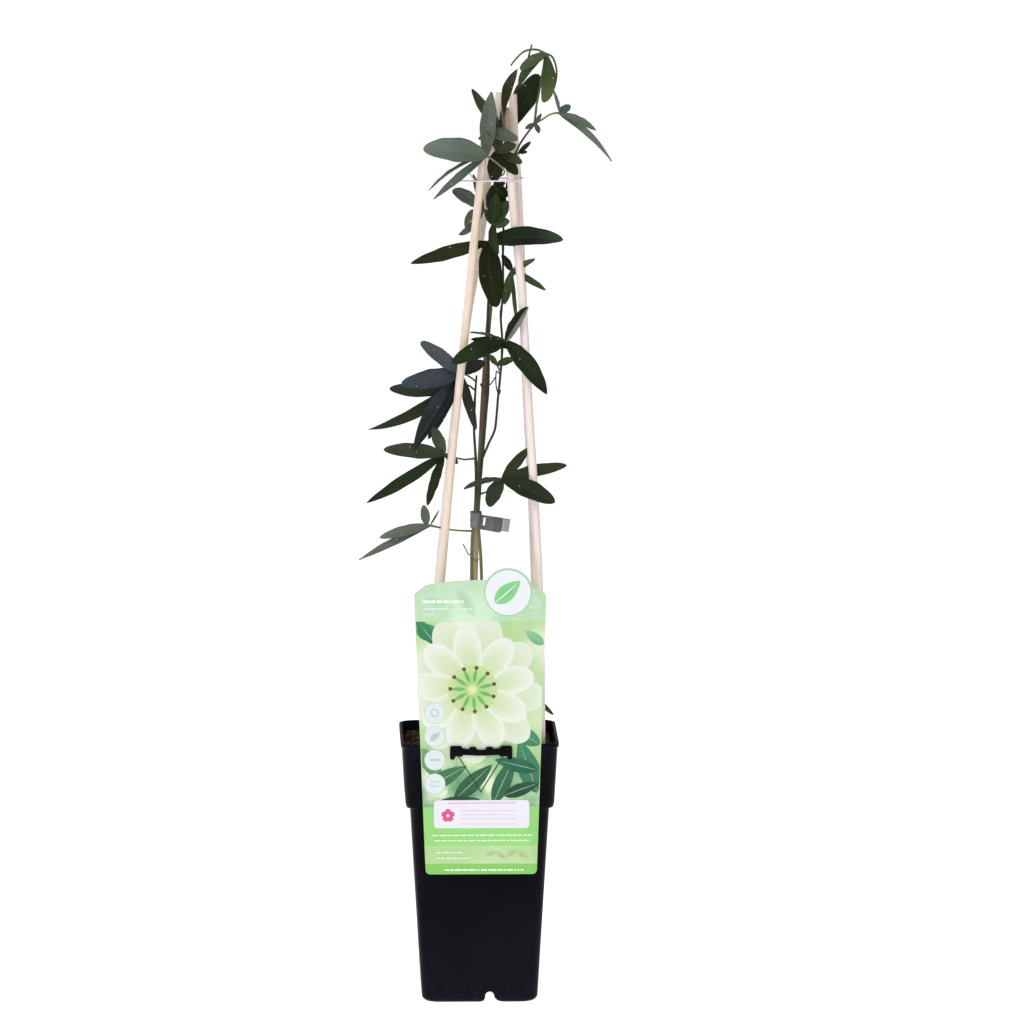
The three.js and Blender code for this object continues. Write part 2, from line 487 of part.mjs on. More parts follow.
const LEAVES = {
  leaf_low_left: {
    finish: FINISH.underLeaf,
    stalk: [[-4.8, -3.2, 364.2], [-16, -14, 366.2], [-26, -25, 369], [-33, -28, 371], [-38, -28, 372]],
    lobes: [
      { reach: [-6, -2, 16], width: 7.4 },
      { reach: [5, 3, 11], width: 6, roll: 66 },
      { reach: [-39, -3, -9], width: 8.6, arch: 3 },
      { reach: [-55, 3, -27], width: 6.4, arch: 4, tip: 0.8 },
    ],
  },
  leaf_left: {
    finish: FINISH.glossyLeaf,
    stalk: [[-2.6, -3.4, 421], [-11, -12, 421.4], [-19, -19.6, 424], [-27, -24, 427]],
    lobes: [
      { reach: [-47, -10, 5], width: 12.6, arch: 3 },
      { reach: [-60, -12, -36], width: 10, arch: 3, tip: 0.7, bow: [0, 0, -2] },
      { reach: [-13, -4, -38], width: 9.4, roll: 30, tip: 0.8 },
      { reach: [-8.6, 3, 21], width: 9.8 },
      { reach: [11, 9, -8], width: 6.4 },
    ],
  },
  leaf_middle_left: {
    finish: FINISH.blueLeaf,
    stalk: [[-1.8, -3.1, 481], [-8, -8, 486], [-14, -13, 489]],
    face: [-0.2, -1, 0.5],
    lobes: [
      { reach: [-31, -8, 25], width: 11.8, arch: 2, tip: 0.4 },
      { reach: [-46, -15, -7], width: 16.4, arch: 4, bow: [0, 0, -2.4] },
      { reach: [-37, -21, -58], width: 17, arch: 3, fold: 34, tip: 0.75 },
      { reach: [12, 5, -45], width: 8 },
      { reach: [19, 4, 8], width: 11 },
    ],
  },
  leaf_middle_left_behind: {
    finish: FINISH.glossyLeaf,
    stalk: [[-2.2, -3.1, 474], [-8, -1, 478], [-15, 2, 480]],
    lobes: [
      { reach: [-54, -10, -4], width: 14, arch: 3, bow: [0, 0, -3.6] },
      { reach: [-70, -14, -35], width: 9.6, arch: 1, full: 0.45, tip: 0.8, bow: [0, 0, -6.4] },
      { reach: [-24, -12, -43], width: 8 },
    ],
  },
  leaf_centre_right: {
    finish: FINISH.glossyLeaf,
    stalk: [[18.4, -1, 508], [20, -9, 511], [21, -18, 514]],
    face: [0.1, -1, 0.6],
    lobes: [
      { reach: [-42, -17, -15], width: 15.6, arch: 5 },
      { reach: [-28, 3, 7], width: 8, roll: 62, arch: 3 },
      { reach: [17, -11, 28], width: 12, roll: -38, fold: 34 },
      { reach: [31, -20, -39], width: 15.6, arch: 4, tip: 0.7 },
      { reach: [-27, 6, 1], width: 5.6 },
    ],
  },
  leaf_small_middle: {
    finish: FINISH.freshLeaf,
    stalk: [[17.2, -1, 488], [15.4, -4.6, 492], [14, -6, 494.6]],
    lobes: [
      { reach: [14, -3, 5], width: 6.4 },
      { reach: [-6, -2, 8], width: 5 },
    ],
  },
  leaf_right: {
    finish: FINISH.glossyLeaf,
    stalk: [[1.4, -2.1, 393], [7, -8, 396], [13, -15, 402], [18, -20, 407]],
    lobes: [
      { reach: [-30, -6, -7], width: 8, roll: 40, arch: 2 },
      { reach: [-10.6, -4, -21], width: 12.4, bow: [-1, 0, 0] },
      { reach: [40, -26, -15], width: 15.6, arch: 4, full: 0.56 },
      { reach: [50, -3, 11], width: 10.4, arch: 3 },
      { reach: [21, 3, 24], width: 8.6 },
    ],
  },
  leaf_upper: {
    finish: FINISH.glossyLeaf,
    stalk: [[11.4, -2.1, 598], [9.6, -5, 594], [7.4, -8.8, 590]],
    face: [0.2, -1, 0.5],
    lobes: [
      { reach: [-60, 6, -17], width: 11.4, arch: 0.6, fold: 8, tip: 0.7 },
      { reach: [6, -6, -50], width: 19.4, arch: 2, bow: [-2.2, 0, 0] },
      { reach: [57, -33, 5], width: 16.8, arch: 5, bow: [0, 0, 1] },
    ],
  },
  leaf_top_left: {
    finish: FINISH.underLeaf,
    stalk: [
      [13.8, -2.1, 640], [17.4, -6, 641.2], [19.4, -12, 643.2], [19.6, -17.2, 646.4],
      [14.4, -18.8, 652], [6, -18, 658],
    ],
    lobes: [
      { reach: [-49, -8, 6], width: 20, arch: 5 },
      { reach: [4, 3, 49.4], width: 13.6, fold: 22, bow: [-0.6, 0, 0] },
      { root: [5.8, -16.6, 677.4], reach: [24.6, 1, -7.2], width: 10.4 },
      { reach: [-45, -2, -27], width: 7, roll: 60, arch: 4, tip: 0.8 },
      { reach: [-41, -7, -33], width: 6.8, arch: 3, tip: 0.8 },
    ],
  },
  leaf_small_left: {
    finish: FINISH.glossyLeaf,
    stalk: [[12.2, -2.1, 612], [8, -1.6, 613], [4, -1.4, 614]],
    lobes: [
      { reach: [-24, -2, 16], width: 11, full: 0.58, tip: 0.45, bow: [0, 0, 1.6] },
      { reach: [-14.4, -2, -13], width: 7, bow: [-2, 0, 3] },
      { reach: [-19, -1, -19], width: 6, bow: [0, 0, -3.4] },
      { reach: [-8, 0, 28], width: 5 },
    ],
  },
  leaf_small_right: {
    finish: FINISH.freshLeaf,
    stalk: [[19.2, -1, 578], [22, -0.6, 571], [26, 0, 567]],
    lobes: [
      { reach: [18, 0, 9], width: 5 },
      { reach: [26, -3, -15], width: 5.6, arch: 2 },
      { reach: [3.8, -4, -42], width: 5, roll: 30 },
      { reach: [-6, -4, -26], width: 7.4 },
      { reach: [-8, -7, 13], width: 6.4 },
    ],
  },
  leaf_inner_low: {
    finish: FINISH.freshLeaf,
    stalk: [[11.8, -2.1, 608], [11.6, -5, 606], [11, -9, 603.6]],
    lobes: [
      { reach: [3.6, -17, -21.5], width: 7.6, bow: [-1.6, -2, 0] },
      { reach: [12, -2, 18.6], width: 11 },
      { reach: [2.6, -3, 24], width: 11 },
      { reach: [13, -4, 3], width: 9 },
      { reach: [-6, -1, 12], width: 6 },
    ],
  },
  leaf_inner_middle: {
    finish: FINISH.glossyLeaf,
    stalk: [[13, -2.1, 628], [12.4, -4.4, 631], [11.8, -6.4, 634]],
    lobes: [
      { reach: [-1.6, 1, -22], width: 11 },
      { reach: [6.6, 1, -21.6], width: 13 },
      { reach: [11, 0.6, -9], width: 8.4 },
      { reach: [9, 0.4, 1.6], width: 6 },
    ],
  },
  leaf_inner_high: {
    finish: FINISH.glossyLeaf,
    stalk: [[15.4, -1.4, 650], [15, -6, 656], [14, -12.6, 661]],
    lobes: [
      { reach: [16, -4, -18], width: 10.4 },
      { reach: [19.6, -3.8, -9], width: 8, full: 0.6 },
      { reach: [15, -4.6, 5], width: 9 },
      { reach: [-2, 2, -24], width: 13 },
      { reach: [0, 2, 14], width: 7 },
    ],
  },
  leaf_crown: {
    finish: FINISH.glossyLeaf,
    stalk: [[17.8, -0.6, 668.5], [18.6, -0.4, 671.6], [19, 0, 676]],
    lobes: [
      { reach: [-24, 0, 32], width: 9.2, tip: 0.6, bow: [-0.8, 0, -1.4] },
      { reach: [-19, 0, -7], width: 6.4 },
      { reach: [1, 0, 20], width: 6 },
    ],
  },
  leaf_crown_front: {
    finish: FINISH.glossyLeaf,
    stalk: [[17, -1, 662], [17.4, -6, 669], [17.6, -12, 675], [18.6, -13.8, 681], [19.6, -13.8, 690]],
    lobes: [
      { reach: [10.4, 4, 34], width: 8.2, full: 0.42, tip: 0.75, bow: [-2.8, 0, 0.8] },
    ],
  },
  leaf_crown_back: {
    finish: FINISH.glossyLeaf,
    stalk: [[16.8, -0.8, 662], [19.6, 6, 668], [23, 12.6, 672], [27, 14.6, 676]],
    lobes: [
      { reach: [20, 0, 42], width: 17, arch: 2, full: 0.64 },
      { reach: [5.6, 0, 35], width: 10.6 },
    ],
  },
  leaf_small_top: {
    finish: FINISH.glossyLeaf,
    stalk: [[27.4, -1.1, 655], [29.6, -3.6, 657.4], [31.4, -4.4, 659]],
    lobes: [
      { reach: [9, -1, 8.4], width: 4 },
      { reach: [6.4, -2, 0.6], width: 3.4 },
    ],
  },
  leaf_top_right: {
    finish: FINISH.underLeaf,
    stalk: [[43, -1, 680.6], [49, -2, 684], [55, -3, 688], [60, -4, 689.4], [63, -4, 689]],
    face: [0.3, -0.7, 0.8],
    lobes: [
      { reach: [40, -4, -37], width: 5.4, bow: [2, 0, 3], roll: 48, full: 0.36, tip: 0.7 },
      { reach: [28, 2, -13.4], width: 7, arch: 3, roll: 20, full: 0.5, tip: 0.7 },
      { reach: [8, 6, 6], width: 7 },
      { reach: [-5, 0, 18], width: 5, roll: 20 },
      { root: [44.2, -2.4, 681], reach: [-8, -2.6, -3.6], width: 4.6 },
      { root: [44.2, -2.4, 681], reach: [2.4, -3.4, -7], width: 5 },
      { root: [44.2, -2.4, 681], reach: [4.4, -2.6, 8], width: 3.6 },
    ],
  },
  leaf_shoot: {
    finish: FINISH.freshLeaf,
    stalk: [[50.6, -1, 727], [52.4, -3.4, 732], [52, -3.6, 735.4]],
    lobes: [
      { reach: [-1.4, -4, -37.6], width: 13, full: 0.6, tip: 0.4, bow: [3.4, 0, 0] },
      { reach: [-20, -3, -12], width: 8.6, arch: 2 },
      { reach: [-20.6, 3, -26], width: 7.4, bow: [-3.4, 0, 1] },
    ],
    threads: [
      [[52, -3.6, 735.4], [45, -4, 738.4], [36, -4.4, 737.4], [29, -4.8, 731.4], [24.8, -5, 726]],
      [[52, -3.6, 735.4], [56.8, -3.4, 733], [60.2, -3.2, 724], [60.2, -3.2, 716], [58.8, -3.4, 709]],
      [[38, -6, 727.6], [39, -5, 734], [41.4, -3.6, 742.6]],
    ],
  },
  leaf_base_right: {
    finish: FINISH.glossyLeaf,
    stalk: [[-0.2, -2.1, 222], [10, -14, 230], [24, -24, 237], [33, -27, 240]],
    lobes: [
      { reach: [24.4, -4, -16], width: 5.4, bow: [0, 0, 2] },
      { reach: [-6, -8, -26], width: 8.6 },
      { reach: [7, -6, 24], width: 9 },
    ],
  },
};

// ---------------------------------------------------------------- tie, clip and label

const TIE = {
  z: 637.6, radius: 0.6, sides: 5, slack: 0.2,
  ends: [
    [[-2.9, -12, 637.6], [-6, -13, 637.9], [-11, -14.4, 638], [-16.4, -15, 638.4]],
    [[-2.9, -12, 637.6], [-4.6, -13.4, 640], [-6.4, -14.2, 643], [-8, -14.6, 646]],
  ],
};

// The middle of a cane where its route passes the height z.
function caneAt(route, z) {
  const above = route.findIndex((point) => point[2] > z);
  const [low, high] = [route[above - 1], route[above]];
  const share = (z - low[2]) / (high[2] - low[2]);
  return [mix(low[0], high[0], share), mix(low[1], high[1], share)];
}

// A wire drawn round all four canes, with its two twisted ends standing out at the left.
function tie() {
  const { radius, sides, z } = TIE;
  const order = ['cane_front_left', 'cane_front_right', 'cane_back_right', 'cane_back_left'];
  const reach = CANE.radius + GAP + radius + TIE.slack;
  const loop = [];
  order.forEach((name, corner) => {
    const [x, y] = caneAt(CANE_ROUTES[name], z);
    const start = -Math.PI + (corner * Math.PI) / 2;
    for (let i = 0; i <= 3; i += 1) {
      const turn = start + (i / 3) * (Math.PI / 2);
      loop.push(vec([x + reach * Math.cos(turn), y + reach * Math.sin(turn), z]));
    }
  });
  const rings = loop.map((point, i) => {
    const ahead = loop[(i + 1) % loop.length].clone().sub(loop.at(i - 1)).normalize();
    const out = ahead.clone().cross(vec([0, 0, 1]));
    return Array.from({ length: sides }, (_, k) => {
      const turn = (2 * Math.PI * k) / sides;
      return point.clone().addScaledVector(out, radius * Math.cos(turn))
        .add(vec([0, 0, radius * Math.sin(turn)]));
    });
  });
  const faces = [];
  const total = loop.length * sides;
  for (let r = 0; r < loop.length; r += 1) {
    for (let k = 0; k < sides; k += 1) {
      const a = r * sides + k;
      const b = r * sides + ((k + 1) % sides);
      const c = (a + sides) % total;
      const d = (b + sides) % total;
      faces.push([a, c, d], [a, d, b]);
    }
  }
  const ring = solidOf(meshFrom(rings.flat(), faces));
  return union([ring, ...TIE.ends.map((route) => evenBar(route, radius, sides, 4))]);
}

const CLIP = {
  centre: [-1.9, -0.2], half: [4.5, 5.8], corner: 2.4, wall: 0.9, z: [366.8, 379],
  tabStart: 0.2, tabEnd: 23.4, tabFront: -6, tabThickness: 1.9, tabHeight: 11.3, tabDroop: 8.5,
  tabDrop: 0.8, windowX: [2.5, 4.1], windowZ: [3.3, 9.6], thinEnd: 5.7,
};

// A spring clip: a collar round the stems and the thin cane, and a flat grip to pull it open.
function clip() {
  const [cx, cy] = CLIP.centre;
  const [hx, hy] = CLIP.half;
  const height = CLIP.z[1] - CLIP.z[0];
  const rounded = (x, y, r) => {
    const shape = new THREE.Shape();
    shape.absarc(cx + x - r, cy + y - r, r, 0, Math.PI / 2);
    shape.absarc(cx - x + r, cy + y - r, r, Math.PI / 2, Math.PI);
    shape.absarc(cx - x + r, cy - y + r, r, Math.PI, 1.5 * Math.PI);
    shape.absarc(cx + x - r, cy - y + r, r, 1.5 * Math.PI, 2 * Math.PI);
    return shape;
  };
  const upright = (shape, depth) => {
    const geometry = new THREE.ExtrudeGeometry(shape, { depth, bevelEnabled: false, curveSegments: 4 });
    geometry.translate(0, 0, CLIP.z[0]);
    return solidOf(geometry);
  };
  const collar = rounded(hx, hy, CLIP.corner);
  collar.holes.push(rounded(hx - CLIP.wall, hy - CLIP.wall, CLIP.corner - CLIP.wall));
  const length = CLIP.tabEnd - CLIP.tabStart;
  const front = CLIP.tabFront;
  const back = front + CLIP.tabThickness;
  const [slotX, slotZ] = [CLIP.windowX, CLIP.windowZ];
  const grip = box([0, front, 0], [length, back, CLIP.tabHeight]);
  const window = box([slotX[0], front - 1, slotZ[0]], [slotX[1], back + 1, slotZ[1]]);
  const thinning = box([length - CLIP.thinEnd, front + CLIP.wall, -1], [length + 1, back + 1, height + 2]);
  const tab = grip.subtract(window).subtract(thinning).rotate([0, CLIP.tabDroop, 0]);
  return upright(collar, height).add(tab.translate([CLIP.tabStart, 0, CLIP.z[0] - CLIP.tabDrop]));
}

// The tag: a tapering sheet with a round tab at its top, slotted to hang from the hook.
function labelShape() {
  const { bottom, bottomHalf, bottomLeft, cornerRadius: r, shoulder, shoulderHalf, crown, disc } = LABEL;
  const shape = new THREE.Shape();
  shape.moveTo(-bottomLeft + r, bottom);
  shape.lineTo(bottomHalf - r, bottom);
  shape.quadraticCurveTo(bottomHalf, bottom, bottomHalf + 0.2, bottom + r);
  shape.lineTo(shoulderHalf, shoulder - 4);
  shape.quadraticCurveTo(shoulderHalf + 0.3, shoulder + 1, shoulderHalf - 5, shoulder + 2.4);
  shape.lineTo(disc.x + Math.sqrt(disc.radius ** 2 - 16), disc.z + 4);
  const from = Math.asin(4 / disc.radius);
  const to = Math.PI - Math.asin((crown - disc.z) / disc.radius);
  shape.absarc(disc.x, disc.z, disc.radius, from, to, false);
  shape.lineTo(-10.6, crown - 0.4);
  shape.quadraticCurveTo(-30, crown - 1.4, -42, shoulder + 7);
  shape.lineTo(-shoulderHalf, shoulder);
  shape.lineTo(-bottomLeft - 0.2, bottom + r);
  shape.quadraticCurveTo(-bottomLeft, bottom, -bottomLeft + r, bottom);
  return shape;
}

function label() {
  const shape = labelShape();
  const { slot, vee } = LABEL;
  const slotHole = new THREE.Path([
    [slot.x[0], slot.z[0]], [slot.x[0], slot.z[1]], [slot.x[1], slot.z[1]], [slot.x[1], slot.z[0]],
  ].map(([x, z]) => new THREE.Vector2(x, z)));
  const veeHole = new THREE.Path([
    [-vee.half, vee.top], [0, vee.tip], [vee.half, vee.top],
    [vee.half + vee.width, vee.top], [0, vee.tip - 1.7 * vee.width], [-vee.half - vee.width, vee.top],
  ].map(([x, z]) => new THREE.Vector2(x + vee.middle, z)));
  shape.holes.push(slotHole, veeHole);
  return plate(shape, LABEL.back, LABEL.thickness, 10);
}

// ---------------------------------------------------------------- assembly

addPart('pot', pot(), FINISH.potPlastic);
for (const [name, route] of Object.entries(CANE_ROUTES)) {
  addPart(name, caneBar(route, 0), FINISH.cane);
}
addPart('cane_thin_centre', thinCane(0), FINISH.thinCane);

const canesGrown = union([...Object.values(CANE_ROUTES).map((route) => caneBar(route, GAP)), thinCane(GAP)]);
const stemsGrown = vine(['main', 'leader', 'left'], GAP);
addPart('stem_main', vine(['main', 'leader'], 0), FINISH.stem);
addPart('stem_left', vine(['left'], 0), FINISH.stem);
addPart('soil', soil([canesGrown, stemsGrown]), FINISH.soil);

const hardware = canesGrown.add(stemsGrown);
for (const [name, rows] of Object.entries(LEAVES)) {
  addPart(name, leaf(rows, hardware), rows.finish);
}

addPart('cane_tie', tie(), FINISH.wire);
addPart('stem_clip', clip(), FINISH.clip);
addPart('hang_label', label(), FINISH.label);

export default group;
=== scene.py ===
# %% [markdown]
# # A young passion flower in its tall pot
# The solids give every piece its place and size. This notebook dresses them: each leaf gets
# thin smooth lobes with a midrib and veins, the pot gets rounded corners and a satin skin, and
# the soil gets its crumbs. One could push each point about with the mouse, but a formula or a
# short list of points can be read, changed and run again. All shapes are worked out in
# millimetres and turned into metres when a mesh is made.

# %% Load the solids
from math import acos, asin, atan2, cos, log, pi, radians, sin, sqrt

import bpy
import numpy as np
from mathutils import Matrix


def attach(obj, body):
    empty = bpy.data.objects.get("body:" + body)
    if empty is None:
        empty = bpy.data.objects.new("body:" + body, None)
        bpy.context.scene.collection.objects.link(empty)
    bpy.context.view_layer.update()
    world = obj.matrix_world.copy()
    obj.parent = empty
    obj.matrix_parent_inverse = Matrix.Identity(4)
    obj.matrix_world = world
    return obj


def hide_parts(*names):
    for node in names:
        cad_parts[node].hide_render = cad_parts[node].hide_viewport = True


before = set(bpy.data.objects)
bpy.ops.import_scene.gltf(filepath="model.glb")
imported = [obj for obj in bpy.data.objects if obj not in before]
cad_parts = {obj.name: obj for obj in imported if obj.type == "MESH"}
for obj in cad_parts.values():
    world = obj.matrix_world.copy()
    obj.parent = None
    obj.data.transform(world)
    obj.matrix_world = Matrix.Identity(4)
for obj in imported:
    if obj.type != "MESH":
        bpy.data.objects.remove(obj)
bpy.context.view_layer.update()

MM = 0.001

print("nodes:", len(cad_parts))

# %% [markdown]
# ## The camera
# A short lens close to the plant would make the pot's foot shrink away, and a camera without
# perspective would flatten the leaves. A long lens from far off keeps the pot's sides nearly
# upright and still shows depth, so the camera stands 7 m away, a little above the middle and
# a touch to the left.

# %% Camera
VIEW_TARGET = np.array([26.1, 0, 378.6]) * MM
VIEW_DISTANCE = 7.0
VIEW_TURN = radians(1.5)
VIEW_RISE = radians(7.7)
VIEW_WIDTH = 794.6 * MM
SENSOR_WIDTH = 36.0
VIEW_END = 60  # nothing beyond this many metres is drawn

camera = bpy.data.objects.new("camera", bpy.data.cameras.new("camera"))
bpy.context.scene.collection.objects.link(camera)
bpy.context.scene.camera = camera
camera.data.sensor_width = SENSOR_WIDTH
camera.data.lens = SENSOR_WIDTH * VIEW_DISTANCE / VIEW_WIDTH
camera.data.clip_end = VIEW_END
camera.location = VIEW_TARGET + VIEW_DISTANCE * np.array([
    -sin(VIEW_TURN) * cos(VIEW_RISE),
    -cos(VIEW_TURN) * cos(VIEW_RISE),
    sin(VIEW_RISE),
])
camera.rotation_euler = (pi / 2 - VIEW_RISE, 0, -VIEW_TURN)
print("lens in millimetres:", round(camera.data.lens, 1))

# %% [markdown]
# ## From arrays to meshes
# Every piece is a grid of points: rings along a path, or rings from an edge to a middle.
# Blender's own curves can make tubes as well, but a grid of our own can also keep, at each
# point, the numbers that a material reads later. One function joins the rings with
# four-sided faces and closes both ends.

# %% A surface from rings
def unit(vectors):
    """Vectors of length one."""
    vectors = np.asarray(vectors, float)
    return vectors / np.linalg.norm(vectors, axis=-1, keepdims=True)


def full_turn(count):
    """Angles at even steps round a circle."""
    return np.linspace(0, 2 * pi, count, endpoint=False)


def skin(rings, closed=False, **values):
    """A surface over rings[i, j]: a face joins corner j and j + 1 of ring i to ring i + 1. A fan
    closes each end, or the last ring joins the first if closed. values hold one number, or one
    row of numbers, for each point of the grid."""
    rings = np.asarray(rings, float)
    count, around = rings.shape[:2]
    i = np.arange(count if closed else count - 1)[:, None]
    j = np.arange(around)[None, :]
    a, b = i * around + j, i * around + (j + 1) % around
    step = ((i + 1) % count - i) * around
    quads = np.stack([a, b, b + step, a + step], axis=-1).reshape(-1, 4)
    points = rings.reshape(-1, 3)
    tris = np.zeros((0, 3), int)
    table = {key: np.broadcast_to(v, rings.shape[:2] + np.shape(v)[2:]) for key, v in values.items()}
    table = {key: v.reshape(-1, *v.shape[2:]) for key, v in table.items()}
    if not closed:
        hub = len(points) + np.array([0, 1])
        points = np.vstack([points, rings[0].mean(0), rings[-1].mean(0)])
        j, k = np.arange(around), (np.arange(around) + 1) % around
        last = (count - 1) * around
        tris = np.vstack([
            np.stack([np.full(around, hub[0]), k, j], -1),
            np.stack([np.full(around, hub[1]), last + j, last + k], -1),
        ])
        ends = {key: [v[:around].mean(0), v[-around:].mean(0)] for key, v in table.items()}
        table = {key: np.concatenate([v, ends[key]]) for key, v in table.items()}
    corner = np.vstack([quads[:, [0, 1, 2]], quads[:, [0, 2, 3]], tris])
    a, b, c = (points[corner[:, k]] - points.mean(0) for k in range(3))
    if np.einsum("ij,ij->i", a, np.cross(b, c)).sum() < 0:
        quads, tris = quads[:, ::-1], tris[:, ::-1]
    return {"points": points, "quads": quads, "tris": tris, "values": table}


small_box = skin([[(0, 0, z), (1, 0, z), (1, 1, z), (0, 1, z)] for z in (0, 1)])
print("a box from two rings:", len(small_box["quads"]), "sides,", len(small_box["tris"]), "end faces")

# %% [markdown]
# A leaf is a stalk, some lobes and a few webs, yet it should move as one thing. Its surfaces
# could be joined afterwards. It is shorter to put them into one mesh from the start, each
# with its material's number, and with the other numbers as attributes.

# %% An object from surfaces
UNDER_SHARE = 0.4  # above this share of "under" a face is an underside


def piece(name, surfaces, materials, sharp=None, colour_values=()):
    """One object from several (surface, material number) pairs, in place at the origin. Faces
    on an underside take the next material."""
    points, faces, numbers, start = [], [], [], 0
    keys = sorted({key for surface, _ in surfaces for key in surface["values"]})
    table = {key: [] for key in keys}
    for surface, number in surfaces:
        points.append(surface["points"] * MM)
        for group in ("quads", "tris"):
            part = surface[group]
            faces += (part + start).tolist()
            back = np.zeros(len(part), bool)
            if "under" in surface["values"]:
                back = surface["values"]["under"][part].mean(axis=1) > UNDER_SHARE
            numbers += (number + back).tolist()
        for key in keys:
            width = (4,) if key in colour_values else ()
            blank = np.zeros((len(surface["points"]),) + width)
            table[key].append(surface["values"].get(key, blank))
        start += len(surface["points"])
    mesh = bpy.data.meshes.new(name)
    mesh.from_pydata(np.concatenate(points), [], faces)
    for material in materials:
        mesh.materials.append(material)
    mesh.polygons.foreach_set("material_index", numbers)
    mesh.polygons.foreach_set("use_smooth", [True] * len(faces))
    for key in keys:
        kind, field = ("FLOAT_COLOR", "color") if key in colour_values else ("FLOAT", "value")
        data = np.concatenate(table[key]).astype(np.float32)
        mesh.attributes.new(key, kind, "POINT").data.foreach_set(field, data.ravel())
    if sharp is not None:
        mesh.set_sharp_from_angle(angle=radians(sharp))
    mesh.update()
    new = bpy.data.objects.new(name, mesh)
    bpy.context.scene.collection.objects.link(new)
    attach(new, "root")
    print(name, "has", len(surfaces), "surfaces and", len(faces), "faces")
    return new


# %% [markdown]
# ## Curves through chosen points
# Stems, stalks and canes follow a few listed points. Straight lines between them
# would show kinks, and many kinds of smooth curve cut the corners. A centripetal Catmull-Rom
# curve passes through all the points without loops or overshoot.

# %% A smooth route
FINE = 24  # samples between two chosen points


def smooth_route(points, count):
    """Stations at even spacing along a curve through the points. Between two points the curve
    is a cubic, whose slopes come from its neighbours, timed by the root of their distances."""
    p = np.array(points, float)
    p = np.vstack([2 * p[0] - p[1], p, 2 * p[-1] - p[-2]])
    pace = np.sqrt(np.linalg.norm(np.diff(p, axis=0), axis=1))[:, None]
    p0, p1, p2, p3 = p[:-3], p[1:-2], p[2:-1], p[3:]
    d0, d1, d2 = pace[:-2], pace[1:-1], pace[2:]
    out = ((p1 - p0) / d0 - (p2 - p0) / (d0 + d1) + (p2 - p1) / d1) * d1
    into = ((p2 - p1) / d1 - (p3 - p1) / (d1 + d2) + (p3 - p2) / d2) * d1
    t = np.linspace(0, 1, FINE, endpoint=False)[None, :, None]
    p1, p2, out, into = (a[:, None, :] for a in (p1, p2, out, into))
    curve = (
        p1 + out * t + (3 * (p2 - p1) - 2 * out - into) * t**2 + (2 * (p1 - p2) + out + into) * t**3
    ).reshape(-1, 3)
    curve = np.vstack([curve, p[-2]])
    length = np.concatenate([[0], np.cumsum(np.linalg.norm(np.diff(curve, axis=0), axis=1))])
    at = np.linspace(0, length[-1], count)
    return np.stack([np.interp(at, length, curve[:, k]) for k in range(3)], axis=1)


bend_test = smooth_route([[0, 0, 0], [8, 0, 0], [8, 0, 6]], 5)
print("five stations round a bend:", np.round(bend_test, 1).tolist())

# %% [markdown]
# A tube is a row of rings at even stations along such a route. Each ring could be turned
# afresh towards the next one, but then a bar would twist like a rope wherever it bends. So
# the direction across the first ring is carried along to the others.

# %% Tubes
FLAT_END = 0.93  # the last ring's share of its radius, on a cut end
ROUND_END = 0.55  # and on a round one
EDGE_STEP = 0.06  # where a cut end's rounding starts, as a share of a step


def frames(path, start=(1, 0.2, 0.1)):
    """For each station the direction of the path and two directions across it, which are
    carried along from ring to ring without a twist."""
    along = unit(np.gradient(path, axis=0))
    across = np.empty_like(along)
    side = np.array(start, float)
    for i, direction in enumerate(along):
        side = unit(side - direction * (side @ direction))
        across[i] = side
    return along, across, np.cross(along, across)


def tube(points, radius, sides=12, count=60, cut_end=False):
    """A round bar: ring i has its middle at station i and reaches radius(t) from it, where t
    runs from 0 to 1 along the way. radius may also depend on the angle. A cut end is flat,
    with a small round edge."""
    path = smooth_route(points, count)
    if cut_end:
        path[-2] = path[-1] + EDGE_STEP * (path[-2] - path[-1])
    _, across, other = frames(path)
    t = np.linspace(0, 1, count)[:, None]
    turn = full_turn(sides)[None, :]
    size = radius(t, turn) if callable(radius) else radius
    size = np.broadcast_to(size, (count, sides)).copy()
    size[-1] *= FLAT_END if cut_end else ROUND_END
    out = across[:, None] * np.cos(turn)[..., None] + other[:, None] * np.sin(turn)[..., None]
    rings = path[:, None] + out * size[..., None]
    return skin(rings, along=t, left=-out[..., 0], across=1.0)


print("points of a plain tube:", len(tube([[0, 0, 0], [0, 0, 5], [0, 0, 10]], 1.0)["points"]))

# %% [markdown]
# ## Small tools for materials
# A material is a chain of nodes. It can be drawn by hand in the shader editor, but written
# down it reads like a recipe. The first helper turns a web colour code into the linear
# numbers of a shader. The second starts a material and hands back a function that adds nodes
# to it.

# %% Colours and a new material
def colour(code):
    """The linear colour of a web colour code."""
    parts = [int(code[i:i + 2], 16) / 255 for i in (0, 2, 4)]
    linear = [c / 12.92 if c <= 0.04045 else ((c + 0.055) / 1.055) ** 2.4 for c in parts]
    return (*linear, 1.0)


def start_material(name, **settings):
    """A material with its shader's sockets set, and a function that adds nodes to it."""
    material = bpy.data.materials.new(name)
    material.use_nodes = True
    tree = material.node_tree
    shader = tree.nodes["Principled BSDF"]
    for key, value in settings.items():
        shader.inputs[key.replace("_", " ")].default_value = value

    def add(kind, inputs=None, **options):
        new = tree.nodes.new("ShaderNode" + kind)
        for key, value in options.items():
            setattr(new, key, value)
        for key, value in (inputs or {}).items():
            if isinstance(value, bpy.types.NodeSocket):
                tree.links.new(value, new.inputs[key])
            else:
                new.inputs[key].default_value = value
        return new

    def join(socket, key):
        tree.links.new(socket, shader.inputs[key])

    return material, add, join


print("mid grey in linear light:", round(colour("808080")[0], 3))

# %% [markdown]
# Nearly every finish is made of the same few steps: two colours mixed by a share, a value
# moved to another range, cloudy noise, and a number read from the mesh. Pictures could be
# wrapped round the pieces instead, but they would blur close up and need to be unwrapped.

